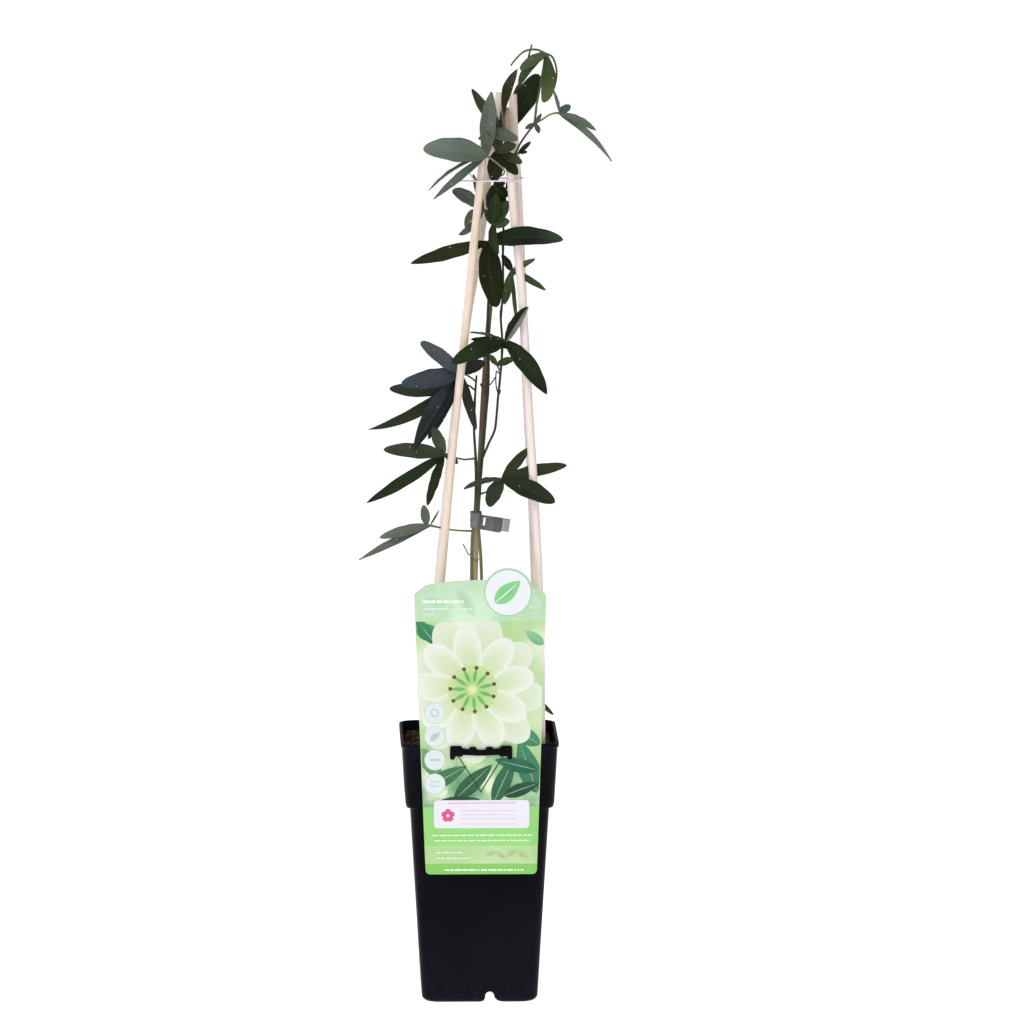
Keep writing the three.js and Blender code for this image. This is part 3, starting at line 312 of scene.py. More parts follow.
# %% Mixes, ranges and noise
def blended(add, share, first, second):
    """Two colours mixed by a share. Each is a colour code or the output of another node."""
    first, second = (colour(tone) if isinstance(tone, str) else tone for tone in (first, second))
    return add("Mix", {0: share, 6: first, 7: second}, data_type="RGBA").outputs[2]


def spread(add, value, low, high, to_low=0.0, to_high=1.0):
    """A value moved from one range to another, smoothly and kept inside it."""
    ends = {0: value, 1: low, 2: high, 3: to_low, 4: to_high}
    return add("MapRange", ends, interpolation_type="SMOOTHSTEP").outputs[0]


def noise(add, scale, detail=4.0, stretch=(1, 1, 1), rough=0.55):
    """Cloudy noise on the piece's own coordinates, which may be stretched along an axis."""
    place = add("TexCoord").outputs["Object"]
    moved = add("Mapping", {"Vector": place, "Scale": stretch}).outputs[0]
    cloud = add("TexNoise", {"Vector": moved, "Scale": scale, "Detail": detail, "Roughness": rough})
    return cloud.outputs["Fac"]


def reading(add, name):
    """The number that the mesh keeps under a name."""
    return add("Attribute", attribute_name=name).outputs["Fac"]


def height_of(add):
    """The height above the floor, in metres."""
    return add("SeparateXYZ", {0: add("TexCoord").outputs["Object"]}).outputs["Z"]


def worked(add, how, a, b=0.0):
    """One arithmetic step, such as ADD or ABSOLUTE."""
    return add("Math", {0: a, 1: b}, operation=how).outputs[0]


def times(add, a, b):
    """The product of two values."""
    return worked(add, "MULTIPLY", a, b)


def bumped(add, join, height, depth):
    """Tilts the shading by a height between 0 and 1 that stands for depth millimetres."""
    bump = add("Bump", {"Height": height, "Distance": depth * MM, "Strength": 1.0})
    join(bump.outputs[0], "Normal")


TOOLS = (blended, spread, noise, reading, height_of, worked, times, bumped)
print("tools for materials:", [tool.__name__ for tool in TOOLS])

# %% [markdown]
# ## Canes
# Five bamboo canes hold the young vine up: four thick ones that lean together from the pot's
# corners, and a thin dark one in the middle. A cylinder from end to end would be too straight,
# since real canes bow a little. So each follows a smooth route through a few points.

# %% Cane routes
CANE_RADIUS = 3.3
CANE_ROUTES = {
    "cane_front_left": [
        [-41, -41, 90], [-41.5, -43.5, 160], [-38.6, -42.4, 216], [-29.9, -34.2, 328],
        [-18.9, -25.4, 448], [-11.1, -20.3, 517], [-2.4, -14.1, 602], [1.9, -11.3, 641],
        [6.4, -8.6, 688],
    ],
    "cane_back_left": [
        [-41, 41, 90], [-41.5, 43.5, 160], [-38.8, 42.6, 216], [-30.8, 34.9, 318],
        [-17.9, 25.6, 448], [-9.6, 20.5, 517], [2.9, 14.4, 598], [8.0, 11.4, 640],
        [16.7, 7.9, 704],
    ],
    "cane_front_right": [
        [43.4, -42, 90], [47, -43.6, 160], [47.6, -42.4, 216], [45.5, -33.6, 340],
        [38.7, -24.9, 458], [33.4, -18.2, 549], [27.8, -13.9, 606], [24.9, -11.3, 641],
        [20.6, -8.2, 694],
    ],
    "cane_back_right": [
        [43.4, 42, 90], [47.2, 43.4, 160], [47.4, 42.2, 216], [43.9, 32.9, 348],
        [38.2, 24.4, 466], [33.4, 15.8, 578], [30.4, 11.4, 639], [28.1, 9.7, 671],
        [27.0, 7.9, 703],
    ],
}
THIN_CANE_RADIUS = 2.1
THIN_CANE_ROUTE = [
    [-6, 2.2, 110], [-4.8, 2.2, 204], [-2.5, 2.2, 325], [-0.7, 2.2, 378], [1.7, 2.2, 427],
    [3.7, 2.2, 466], [7.4, 2.2, 519], [9.3, 2.2, 541], [12.2, 2.2, 598], [14.6, 2.2, 656],
]
print("canes:", len(CANE_ROUTES) + 1)

# %% [markdown]
# A cane is not a clean pipe. It is split and scraped, so its radius wanders by a tenth of a
# millimetre, and here and there a knot leaves a low ring. A texture could fake this with
# shading, but the ring also shows on the outline, so it is built into the radius.

# %% A cane's radius
KNOT_RISE, KNOT_LENGTH = 0.16, 0.004  # millimetres, and a share of the way
ROUGH_ROOM = 0.12  # the roughness stays inside the solid cane
THIN_SEED, KNOT_SEED = 9, 40


def cane_radius(size, seed, knots):
    """A bar's radius along the way: full at most stations, a little rough, with a low ring at
    each knot. The last ring is drawn in to round off the sawn end."""
    rough = np.random.default_rng(seed)
    wave = rough.uniform(0, 2 * pi, 3)

    def radius(t, turn):
        low = 0.06 * np.sin(21 * t + wave[0]) + 0.05 * np.cos(3 * turn + 8 * t + wave[1])
        rings = sum(KNOT_RISE * np.exp(-(((t - knot) / KNOT_LENGTH) ** 2)) for knot in knots)
        return size - ROUGH_ROOM + low + rings

    return radius


plain = cane_radius(CANE_RADIUS, 0, [0.5])(np.linspace(0, 1, 201), 0)
print("a cane's radius:", round(plain.min(), 2), "to", round(plain.max(), 2), "mm")

# %% [markdown]
# The bamboo is pale cream with a pinkish cast, marked by long faint fibres. Its left sides
# are greyer and its right sides browner: partly the bamboo's own tone, and partly painted shade
# where the surface turns away from the light from the front left. Fibres could be grooves in
# the mesh, but they are far too many, so noise is stretched along the height. The sides are
# told apart by the attribute "left", the tilt of the surface.

# %% Bamboo
def cane_material(name, tone, left, right, dark, grain=0.10, age_and_shade=None):
    """Split bamboo. tone is its colour, left and right those of its two sides, partly painted
    shade, and dark its fibres. The last argument gives a colour for the top and the two heights
    between which it takes over: painted shade on the front right cane, and the thin cane's own
    darker top."""
    material, add, join = start_material(name, Roughness=0.55, Specular_IOR_Level=0.12)
    fibres = noise(add, 900, 3, stretch=(1, 1, 0.018), rough=0.6)
    patches = noise(add, 26, 3, stretch=(1, 1, 0.35))
    side = reading(add, "left")
    # painted shade: the sides turn greyer and browner where the surface faces away from the light
    base = blended(add, spread(add, side, 0.25, 0.95), tone, left)
    base = blended(add, spread(add, side, -0.3, -0.95), base, right)
    # a colour for the top: painted shade on the front right cane, where leaves hang over it
    if age_and_shade:
        later, low, high = age_and_shade
        base = blended(add, spread(add, height_of(add), low, high, 0, 0.85), base, later)
    base = blended(add, spread(add, fibres, 0.46, 0.72, 0, 0.3), base, dark)
    base = blended(add, spread(add, patches, 0.52, 0.75, 0, 0.22), base, dark)
    join(base, "Base Color")
    bumped(add, join, fibres, grain)
    return material


CANE_TONES = {
    # tone, left side, right side (both sides partly painted shade), fibres
    "cane_front_left": ("f3e0cf", "f0e4e1", "dcc8b2", "cba985"),
    "cane_back_left": ("f6e8db", "efe6e4", "dccabb", "d2b596"),
    "cane_front_right": ("faebe6", "eae0e4", "e3d1cb", "d3b4a0"),
    "cane_back_right": ("f1e2da", "e2d8d8", "d8c8bd", "cfb195"),
}
# painted shade: the front right cane turns tan near its top, under the leaves
CANE_TOP_SHADE = {"cane_front_right": ("8a7152", 0.655, 0.68)}
print("tones of a cane:", len(CANE_TONES["cane_front_left"]))

# %% Four canes
for seed, (name, route) in enumerate(CANE_ROUTES.items()):
    knots = np.random.default_rng(KNOT_SEED + seed).uniform(0.25, 0.9, 2)
    surface = tube(route, cane_radius(CANE_RADIUS, seed, knots), 24, 150, cut_end=True)
    finish = cane_material(name + "_bamboo", *CANE_TONES[name], age_and_shade=CANE_TOP_SHADE.get(name))
    cane = piece(name + "_fine", [(surface, 0)], [finish])
    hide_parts(name)

# %% [markdown]
# The thin cane in the middle is older than the others: straw brown low down and nearly black
# above the clip. It could share their finish, but its colours are its own.

# %% The thin cane
THIN_KNOTS = [0.3, 0.55, 0.8]
thin_radius = cane_radius(THIN_CANE_RADIUS, THIN_SEED, THIN_KNOTS)
surface = tube(THIN_CANE_ROUTE, thin_radius, 18, 170, cut_end=True)
# the thin cane's side colours are partly painted shade too
thin_finish = cane_material("thin_bamboo", "d9c7a0", "b8a27a", "a58c62", "7d6242", grain=0.16,
                            age_and_shade=("57483c", 0.372, 0.395))
thin_cane = piece("cane_thin_fine", [(surface, 0)], [thin_finish])
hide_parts("cane_thin_centre")

# %% [markdown]
# ## Stems and tendrils
# Two shoots climb the thin cane. The main one forks into a leader, and from all of them curl
# tendrils, thin threads with which the vine holds on. They could be Blender curves with a
# round bevel. Tubes of our own are used, since a real stem is faintly ribbed and swells at
# each node, the place from which a leaf springs.

# %% Stem routes
STEM_ROUTES = {
    "main": [
        [1.6, -2.1, 150], [1.9, -2.1, 204], [2.4, -2.1, 326], [1.4, -2.1, 350], [0.1, -2.1, 366],
        [0, -2.1, 379], [0.9, -2.1, 397],
        [3.2, -2.1, 424], [5.2, -2.1, 448], [7.7, -2.1, 485], [7.2, -2.1, 519], [7.8, -2.1, 541],
        [10.6, -2.1, 583], [12.6, -2.1, 622], [15.6, -1.4, 652], [17.6, -0.6, 668],
    ],
    "leader": [
        [3.2, -2.1, 421], [7.8, -1.6, 432], [12.7, -1.1, 443], [13.9, -1, 452], [15.4, -1, 470],
        [17, -1, 485], [18.3, -1, 502], [18.4, -1, 515], [17.4, -1, 531], [18.6, -1, 544],
        [19.2, -1, 560], [19.1, -1, 583], [20.6, -1, 622], [24.4, -1.2, 645], [31, -1, 663],
        [38.9, -1, 675], [42.7, -1, 680], [45, -1, 695], [46.6, -1, 703], [50.4, -1, 726],
        [51.6, -1, 735],
    ],
    "left": [
        [-5.9, -3.1, 150], [-5.8, -3.1, 204], [-5.3, -3.1, 326], [-5.1, -3.2, 350],
        [-4.3, -3.4, 364], [-3, -3.8, 376], [-1.9, -3.8, 399], [-2.2, -3.5, 422], [-3.4, -3.1, 443],
        [-2.8, -3.1, 466], [-1.4, -3.1, 486],
    ],
}
STEM_RADIUS = {"main": (1.3, 1.1), "leader": (0.95, 0.75), "left": (2, 0.8)}
STEM_NODES = {
    "main": [0.47, 0.62, 0.86, 0.93],
    "leader": [0.27, 0.36, 0.52, 0.86, 0.93],
    "left": [0.62, 0.8, 0.93],
}
TENDRIL_RADIUS = 0.5
TENDRILS = {
    "main": [
        [[6.4, -2.6, 470], [3, -6.4, 476], [1.6, -8.2, 480], [5, -8.6, 477], [9.6, -8.4, 480],
         [13, -7.6, 485]],
    ],
    "leader": [
        [[17.1, -1, 486], [14.2, -4, 489], [13.4, -6.4, 484], [14, -7, 476], [15.8, -6.2, 471],
         [17.2, -6, 475]],
    ],
    "left": [
        [[-5.2, -3.1, 346.8], [-7.4, -3.7, 345.8], [-9.4, -4.4, 349], [-12, -5, 354.4]],
        [[-5.2, -3.4, 346], [-4, -5, 343], [-1.6, -5.4, 341.2], [0.2, -4.8, 342.8]],
    ],
}
print("stems:", len(STEM_ROUTES), "tendrils:", sum(len(group) for group in TENDRILS.values()))

# %% A stem's radius
NODE_RISE, NODE_LENGTH = 0.225, 0.012  # millimetres, and a share of the way
RIBS, RIB_SHARE = 5, 0.05


def stem_radius(which):
    """A stem's radius: it tapers along the way, swells at its nodes and has five low ribs."""
    low, high = STEM_RADIUS[which]
    nodes = STEM_NODES[which]

    def radius(t, turn):
        swell = sum(NODE_RISE * np.exp(-(((t - node) / NODE_LENGTH) ** 2)) for node in nodes)
        return (low + (high - low) * t) * (1 + RIB_SHARE * np.cos(RIBS * turn)) + swell

    return radius


print("nodes on each stem:", {which: len(nodes) for which, nodes in STEM_NODES.items()})

# %% [markdown]
# Young bark is olive low down, almost black-green in the middle and fresher near the top,
# with fine streaks along it. Each stretch could have a material of its own, but the borders
# would show. One material that reads the height blends them.

# %% Bark
def stem_material():
    """Green bark that darkens with height, with fine lengthwise streaks."""
    material, add, join = start_material("vine_bark", Roughness=0.55, Specular_IOR_Level=0.15)
    height = height_of(add)
    base = blended(add, spread(add, height, 0.365, 0.40), "74775a", "343b2c")
    base = blended(add, spread(add, height, 0.66, 0.70), base, "5c6744")
    streaks = noise(add, 1100, 3, stretch=(1, 1, 0.03))
    base = blended(add, spread(add, streaks, 0.5, 0.75, 0, 0.3), base, "8d8a66")
    patches = noise(add, 45, 4, stretch=(1, 1, 0.4))
    base = blended(add, spread(add, patches, 0.5, 0.72, 0, 0.5), base, "3b3224")
    join(base, "Base Color")
    bumped(add, join, streaks, 0.18)
    return material


bark = stem_material()
print("bark nodes:", len(bark.node_tree.nodes))

# %% Stems
for node, names in {"stem_main": ["main", "leader"], "stem_left": ["left"]}.items():
    surfaces = []
    for name in names:
        surfaces.append((tube(STEM_ROUTES[name], stem_radius(name), 20, 260), 0))
        surfaces += [(tube(route, TENDRIL_RADIUS, 10, 60), 0) for route in TENDRILS[name]]
    stem = piece(node + "_fine", surfaces, [bark])
    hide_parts(node)

# %% [markdown]
# ## The shape of a leaf
# A passion flower leaf is a hand of narrow lobes on a thin stalk. Each lobe is folded a
# little along its midrib, arches, and may be rolled about its own line. One leaf could be
# modelled and copied, but no two leaves of a vine hang alike. So the table gives, for
# each leaf, the stalk's route and, for each lobe, where its tip lies from the palm, its
# greatest width, how far it arches, its fold and its roll in degrees. full is the place of
# the greatest width along the way, tip how blunt the end is, bow a push that bends the
# midrib, and root a start away from the palm. The numbers tone and hue make a lobe lighter or
# darker, and browner or bluer, than its leaf's own colour, and a pair of them runs from the
# palm to the tip. They hold painted light and shade as well as colour: palms painted darker
# where neighbours shade them, lobes deep among the others painted dark, and some tips painted
# lighter as a reflection of the sky. split parts the tones of a lobe's two halves, painting
# one side of the fold lit and the other shaded, and pale adds a light margin.

# %% Leaf table
def blade(x, y, z, width, **bends):
    """One lobe: where its tip lies from the palm, its greatest width, and how it bends."""
    return {"reach": [x, y, z], "width": width, **bends}


# tone and split hold painted light and shade as well as each lobe's own colour
LEAVES = {
    "low_left": dict(finish="under", lobes=[
        blade(-2.4, -2, 16, 7.4, root=[-40.6, -28, 372.4], tone=-0.1, hue=0.3),
        blade(7, 3, 11.4, 2.4, roll=66, tone=-0.5, hue=0.2),
        blade(-39, -3, -9, 8.6, arch=3, tone=[-0.1, 0.2], hue=0.35),
        blade(-55, 3, -27, 6.4, arch=4, tip=0.8, tone=[-0.1, 0.1], hue=0.4),
    ], stalk=[[-4.8, -3.2, 364.2], [-16, -14, 366.2], [-26, -25, 369], [-33, -28, 371], [-38, -28, 372]]),
    "left": dict(finish="glossy", lobes=[
        blade(-47, -10, 5, 12.6, arch=3, tone=0.25),
        blade(-60, -12, -36, 10, arch=3, tip=0.7, bow=[0, 0, -2], tone=0.06),
        blade(-13, -4, -39.4, 9.4, roll=30, tip=0.5, tone=0.05, hue=0.1),
        blade(-8.6, 3, 21, 9.8, tone=0.5),
        blade(11, 9, -8, 6.4, tone=0.2),
    ], stalk=[[-2.6, -3.4, 421], [-11, -12, 421.4], [-19, -19.6, 424], [-27, -24, 427]]),
    "middle_left": dict(finish="blue", face=[-0.2, -1, 0.5], lobes=[
        blade(-31, -8, 25, 11.8, arch=2, tip=0.4, tone=0.4),
        blade(-46, -15, -7, 16.4, arch=4, bow=[0, 0, -2.4], tone=0.15),
        blade(-37, -21, -58, 17, arch=3, fold=34, tip=0.75, split=0.25, tone=-0.25),
        blade(12, 5, -45, 8, tone=-0.2, hue=0.5),
        blade(19, 4, 8, 11, tone=-0.1, hue=0.6),
    ], stalk=[[-1.8, -3.1, 481], [-8, -8, 486], [-14, -13, 489]]),
    "middle_left_behind": dict(finish="glossy", lobes=[
        blade(-54, -10, -4, 14, arch=3, bow=[0, 0, -3.6], tone=0.15, hue=-0.1),
        blade(-70, -14, -35, 9.6, arch=1, full=0.45, tip=0.8, bow=[0, 0, -6.4], tone=0.15),
        blade(-24, -12, -43, 8, tone=0.05),
    ], stalk=[[-2.2, -3.1, 474], [-8, -1, 478], [-15, 2, 480]]),
    "centre_right": dict(finish="glossy", face=[0.1, -1, 0.6], lobes=[
        blade(-42, -17, -15, 15.6, arch=5, tone=0.05),
        blade(-28, 3, 7, 8, arch=3, roll=62, bow=[0, 0, -1.6]),
        blade(17, -11, 28, 12, fold=34, roll=-20, tone=-0.1, pale=0.3),
        blade(31, -20, -39, 15.6, arch=4, tip=0.7, tone=0.05),
        blade(-27, 6, 1, 5.6, tone=0.05),
    ], stalk=[[18.4, -1, 508], [20, -9, 511], [21, -18, 514]]),
    "small_middle": dict(finish="fresh", lobes=[
        blade(14, -3, 5, 6.4, tone=0.1),
        blade(-6, -2, 8, 5, tone=0.05, hue=0.3),
    ], stalk=[[17.2, -1, 488], [15.4, -4.6, 492], [14, -6, 494.6]]),
    "right": dict(finish="glossy", lobes=[
        blade(-30, -6, -7, 8, arch=2, roll=40, tone=0.35, hue=0.2),
        blade(-10.6, -4, -21, 12.4, bow=[-1, 0, 0], tone=0.15),
        blade(40, -26, -15, 15.6, arch=4, full=0.56, tone=0.08),
        blade(50, -3, 11, 10.4, arch=3, tone=0.15, hue=0.2),
        blade(21, 3, 24, 8.6, tone=0.1, hue=0.3),
    ], stalk=[[1.4, -2.1, 393], [7, -8, 396], [13, -15, 402], [18, -20, 407]]),
    "upper": dict(finish="glossy", face=[0.2, -1, 0.5], lobes=[
        blade(-60, 6, -17, 11.4, arch=0.6, fold=8, tip=0.7, tone=-0.1, hue=0.2),
        blade(6, -6, -50, 19.4, arch=2, bow=[-2.2, 0, 0], tone=-0.4, hue=0.1),
        blade(57, -33, 5, 16.8, arch=5, bow=[0, 0, 1], tone=[-0.5, 0.25], hue=-0.1),
    ], stalk=[[11.4, -2.1, 598], [9.6, -5, 594], [7.4, -8.8, 590]]),
    "top_left": dict(finish="under", lobes=[
        blade(-49, -8, 6, 20, arch=5, tone=[0.1, 0.4]),
        blade(4, 3, 49.4, 13.6, fold=22, tip=0.7, bow=[-0.6, 0, 0], tone=[-0.6, 0.35], hue=0.2),
        blade(24.6, 1, -7.2, 10.4, root=[5.8, -16.6, 677.4], tone=[-1, 0], hue=0.2),
        blade(-45, -2, -27, 7, arch=4, roll=60, tip=0.8, hue=0.2),
        blade(-41, -7, -33, 6.8, arch=3, tip=0.8, hue=0.1),
    ], stalk=[
        [13.8, -2.1, 640], [17.4, -6, 641.2], [19.4, -12, 643.2], [19.6, -17.2, 646.4],
        [14.4, -18.8, 652], [6, -18, 658],
    ]),
    "small_left": dict(finish="glossy", lobes=[
        blade(-24, -2, 16, 11, full=0.58, tip=0.45, bow=[0, 0, 1.6], tone=[1, 0.5]),
        blade(-14.4, -2, -13, 7, bow=[-2, 0, 3], tone=0.75, hue=0.2),
        blade(-19, -1, -19, 6, bow=[0, 0, -3.4], tone=0.7, hue=0.2),
        blade(-8, 0, 28, 5, tone=0.65, hue=0.3),
    ], stalk=[[12.2, -2.1, 612], [8, -1.6, 613], [4, -1.4, 614]]),
    "small_right": dict(finish="fresh", lobes=[
        blade(18, 0, 9, 5, tone=0.6, hue=0.3),
        blade(26, -3, -15, 5.6, arch=2, tone=0.1),
        blade(3.8, -4, -42, 3.8, roll=30, tone=0.1, hue=0.5),
        blade(-6, -4, -26, 7.4, tone=0.2, hue=0.1),
        blade(-8, -7, 13, 6.4, tone=-1),
    ], stalk=[[19.2, -1, 578], [22, -0.6, 571], [26, 0, 567]]),
    "inner_low": dict(finish="fresh", lobes=[
        blade(3.6, -17, -21.5, 7.6, bow=[-1.6, -2, 0], tone=-0.7, hue=0.1),
        blade(12, -2, 18.6, 11, tone=-0.3),
        blade(2.6, -3, 24, 11, tone=-0.7),
        blade(13, -4, 3, 9, tone=0.1, hue=-0.1),
        blade(-6, -1, 12, 6, tone=-0.3, hue=0.2),
    ], stalk=[[11.8, -2.1, 608], [11.6, -5, 606], [11, -9, 603.6]]),
    "inner_middle": dict(finish="glossy", lobes=[
        blade(-1.6, 1, -22, 11, tone=0.2),
        blade(6.6, 1, -21.6, 13),
        blade(11, 0.6, -9, 8.4, tone=-0.1),
        blade(9, 0.4, 1.6, 6),
    ], stalk=[[13, -2.1, 628], [12.4, -4.4, 631], [11.8, -6.4, 634]]),
    "inner_high": dict(finish="glossy", lobes=[
        blade(16, -4, -18, 10.4, tone=-0.6, hue=0.2),
        blade(19.6, -3.8, -9, 8, full=0.6, tone=[-0.3, 0.4], hue=0.2),
        blade(15, -4.6, 5, 9, tone=0.2, hue=0.5),
        blade(-2, 2, -24, 13, tone=-0.7, hue=0.2),
        blade(0, 2, 14, 7, tone=0.3),
    ], stalk=[[15.4, -1.4, 650], [15, -6, 656], [14, -12.6, 661]]),
    "crown": dict(finish="glossy", lobes=[
        blade(-24, 0, 32, 9.2, tip=0.6, bow=[-0.8, 0, -1.4], tone=[0.7, 0.1]),
        blade(-19, 0, -7, 6.4, tone=0.4, hue=0.1),
        blade(1, 0, 20, 6, tone=0.5, hue=1),
    ], stalk=[[17.8, -0.6, 668.5], [18.6, -0.4, 671.6], [19, 0, 676]]),
    "crown_front": dict(finish="glossy", lobes=[
        blade(10.4, 4, 34, 8.2, full=0.58, tip=0.75, bow=[-2.8, 0, 0.8], tone=[-0.25, 0.3], hue=0.2),
    ], stalk=[[17, -1, 662], [17.4, -6, 669], [17.6, -12, 675], [18.6, -13.8, 681], [19.6, -13.8, 690]]),
    "crown_back": dict(finish="glossy", lobes=[
        blade(20, 0, 42, 17, arch=2, full=0.64, tone=0.05),
        blade(5.6, 0, 35, 10.6, tone=0.4, hue=0.4),
    ], stalk=[[16.8, -0.8, 662], [19.6, 6, 668], [23, 12.6, 672], [27, 14.6, 676]]),
    "small_top": dict(finish="glossy", lobes=[
        blade(9, -1, 8.4, 4, tone=0.1),
        blade(6.4, -2, 0.6, 3.4, tone=0.1),
    ], stalk=[[27.4, -1.1, 655], [29.6, -3.6, 657.4], [31.4, -4.4, 659]]),
    "top_right": dict(finish="under", face=[0.3, -0.7, 0.8], lobes=[
        blade(40, -4, -37, 5.4, roll=48, full=0.36, tip=0.7, bow=[2, 0, 3], tone=[0, 0.3], hue=0.15),
        blade(28, 2, -13.4, 7, arch=3, roll=20, full=0.5, tip=0.7, tone=0.2, hue=0.1),
        blade(8, 6, 6, 7),
        blade(-5, 0, 18, 5, roll=20, tone=0.3),
        blade(-8, -2.6, -3.6, 4.6, root=[44.2, -2.4, 681], tone=-0.7, hue=0.3),
        blade(2.4, -3.4, -7, 5, root=[44.2, -2.4, 681], tone=-0.7, hue=0.3),
        blade(4.4, -2.6, 8, 3.6, root=[44.2, -2.4, 681], tone=-0.7, hue=0.3),
    ], stalk=[[43, -1, 680.6], [49, -2, 684], [55, -3, 688], [60, -4, 689.4], [63, -4, 689]]),
    "shoot": dict(finish="fresh", lobes=[
        blade(-1.4, -4, -37.6, 11.4, full=0.6, tip=0.4, bow=[3.4, 0, 0], tone=[-0.4, 0.4], hue=[0, 0.5]),
        blade(-20, -3, -12, 8.6, arch=2, tone=0.25, hue=0.1),
        blade(-20.6, 3, -26, 7.4, bow=[-3.4, 0, 1], tone=0.15),
    ], stalk=[[50.6, -1, 727], [52.4, -3.4, 732], [52, -3.6, 735.4]], threads=[
        [[52, -3.6, 735.4], [45, -4, 738.4], [36, -4.4, 737.4], [29, -4.8, 731.4], [24.8, -5, 726]],
        [[52, -3.6, 735.4], [56.8, -3.4, 733], [60.2, -3.2, 724], [60.2, -3.2, 716], [58.8, -3.4, 709]],
        [[38, -6, 727.6], [39, -5, 734], [41.4, -3.6, 742.6]],
    ]),
    "base_right": dict(finish="glossy", lobes=[
        blade(24.4, -4, -16, 5.4, bow=[0, 0, 2], tone=0.4),
        blade(-6, -8, -26, 8.6),
        blade(7, -6, 24, 9),
    ], stalk=[[-0.2, -2.1, 222], [10, -14, 230], [24, -24, 237], [33, -27, 240]]),
}

lobe_count = sum(len(row["lobes"]) for row in LEAVES.values())
print("leaves in the table:", len(LEAVES), "with", lobe_count, "lobes")

# %% [markdown]
# A lobe starts narrow at the palm, where the stalk ends, swells to its greatest width and
# runs out to a tip. Its outline could be a row of measured widths for every lobe. One sine
# wave, bent so that its top can be moved, gives them all with two numbers. The directions of
# a lobe come from where it reaches, which way the leaf faces and how far it is rolled.

# %% Lobe width and directions
STATIONS = 36  # rings from palm to tip
TIP_WIDTH = 1.3  # a lobe is never narrower than this
ROOT_SINK = 0.2  # it starts this far inside the palm
ROOT_WIDTH = 0.18  # its width at the root, as a share


def lobe_width(t, full, tip):
    """A lobe's width along the way, as a share of its greatest: narrow at the root, and widest
    where t equals full. The lower the power tip, the blunter its end."""
    swell = np.clip(np.sin(pi * t ** (log(0.5) / log(full))), 0, None)
    bulge = np.where(t > full, swell**tip, swell**0.75)
    return (ROOT_WIDTH * (1 - t) + bulge) / 1.08


def graded(row, key, t):
    """A lobe's tone or hue at t: one number, or a pair for its root and its tip."""
    low, high = np.resize(row.get(key, 0), 2)
    return low + (high - low) * t


def lobe_frame(row, face):
    """The directions of a lobe: along its midrib, to its side and up from its upper face."""
    reach = np.array(row["reach"], float)
    along = unit(reach)
    side = unit(np.cross(along, face))
    roll = radians(row.get("roll", 0))
    side = side * cos(roll) + np.cross(along, side) * sin(roll)
    return along, side, np.cross(side, along), np.linalg.norm(reach) + ROOT_SINK


print("share of the width at the middle:", round(float(lobe_width(0.5, 0.5, 0.5)), 2))

# %% [markdown]
# A blade is about half a millimetre thick in its body, thinner at its edges and thicker under
# the midrib. A flat sheet would have no edge to catch the light and no underside. So each
# ring goes over the upper face from edge to edge and back below it, and the outline waves a
# little, for a leaf never lies quite flat.

# %% A lobe
UPPER = np.linspace(-1, 1, 13)
LOWER = np.linspace(1, -1, 13)[1:-1]
EDGES = np.concatenate([UPPER, LOWER])
IS_UNDER = np.concatenate([np.zeros(len(UPPER)), np.ones(len(LOWER))])
EDGE_THICK, BODY_THICK = 0.16, 0.42  # at the edges, and how much more in between
RIB_THICK, RIB_WIDTH = 0.3, 0.09  # the midrib below, its width as a share
CREASE = 0.012  # how round the fold is
RIPPLE, MARGIN_WAVE = 0.35, 0.03  # millimetres up and down, and a share sideways
ROUND_FROM = 0.97  # the tip is rounded beyond this part of the way


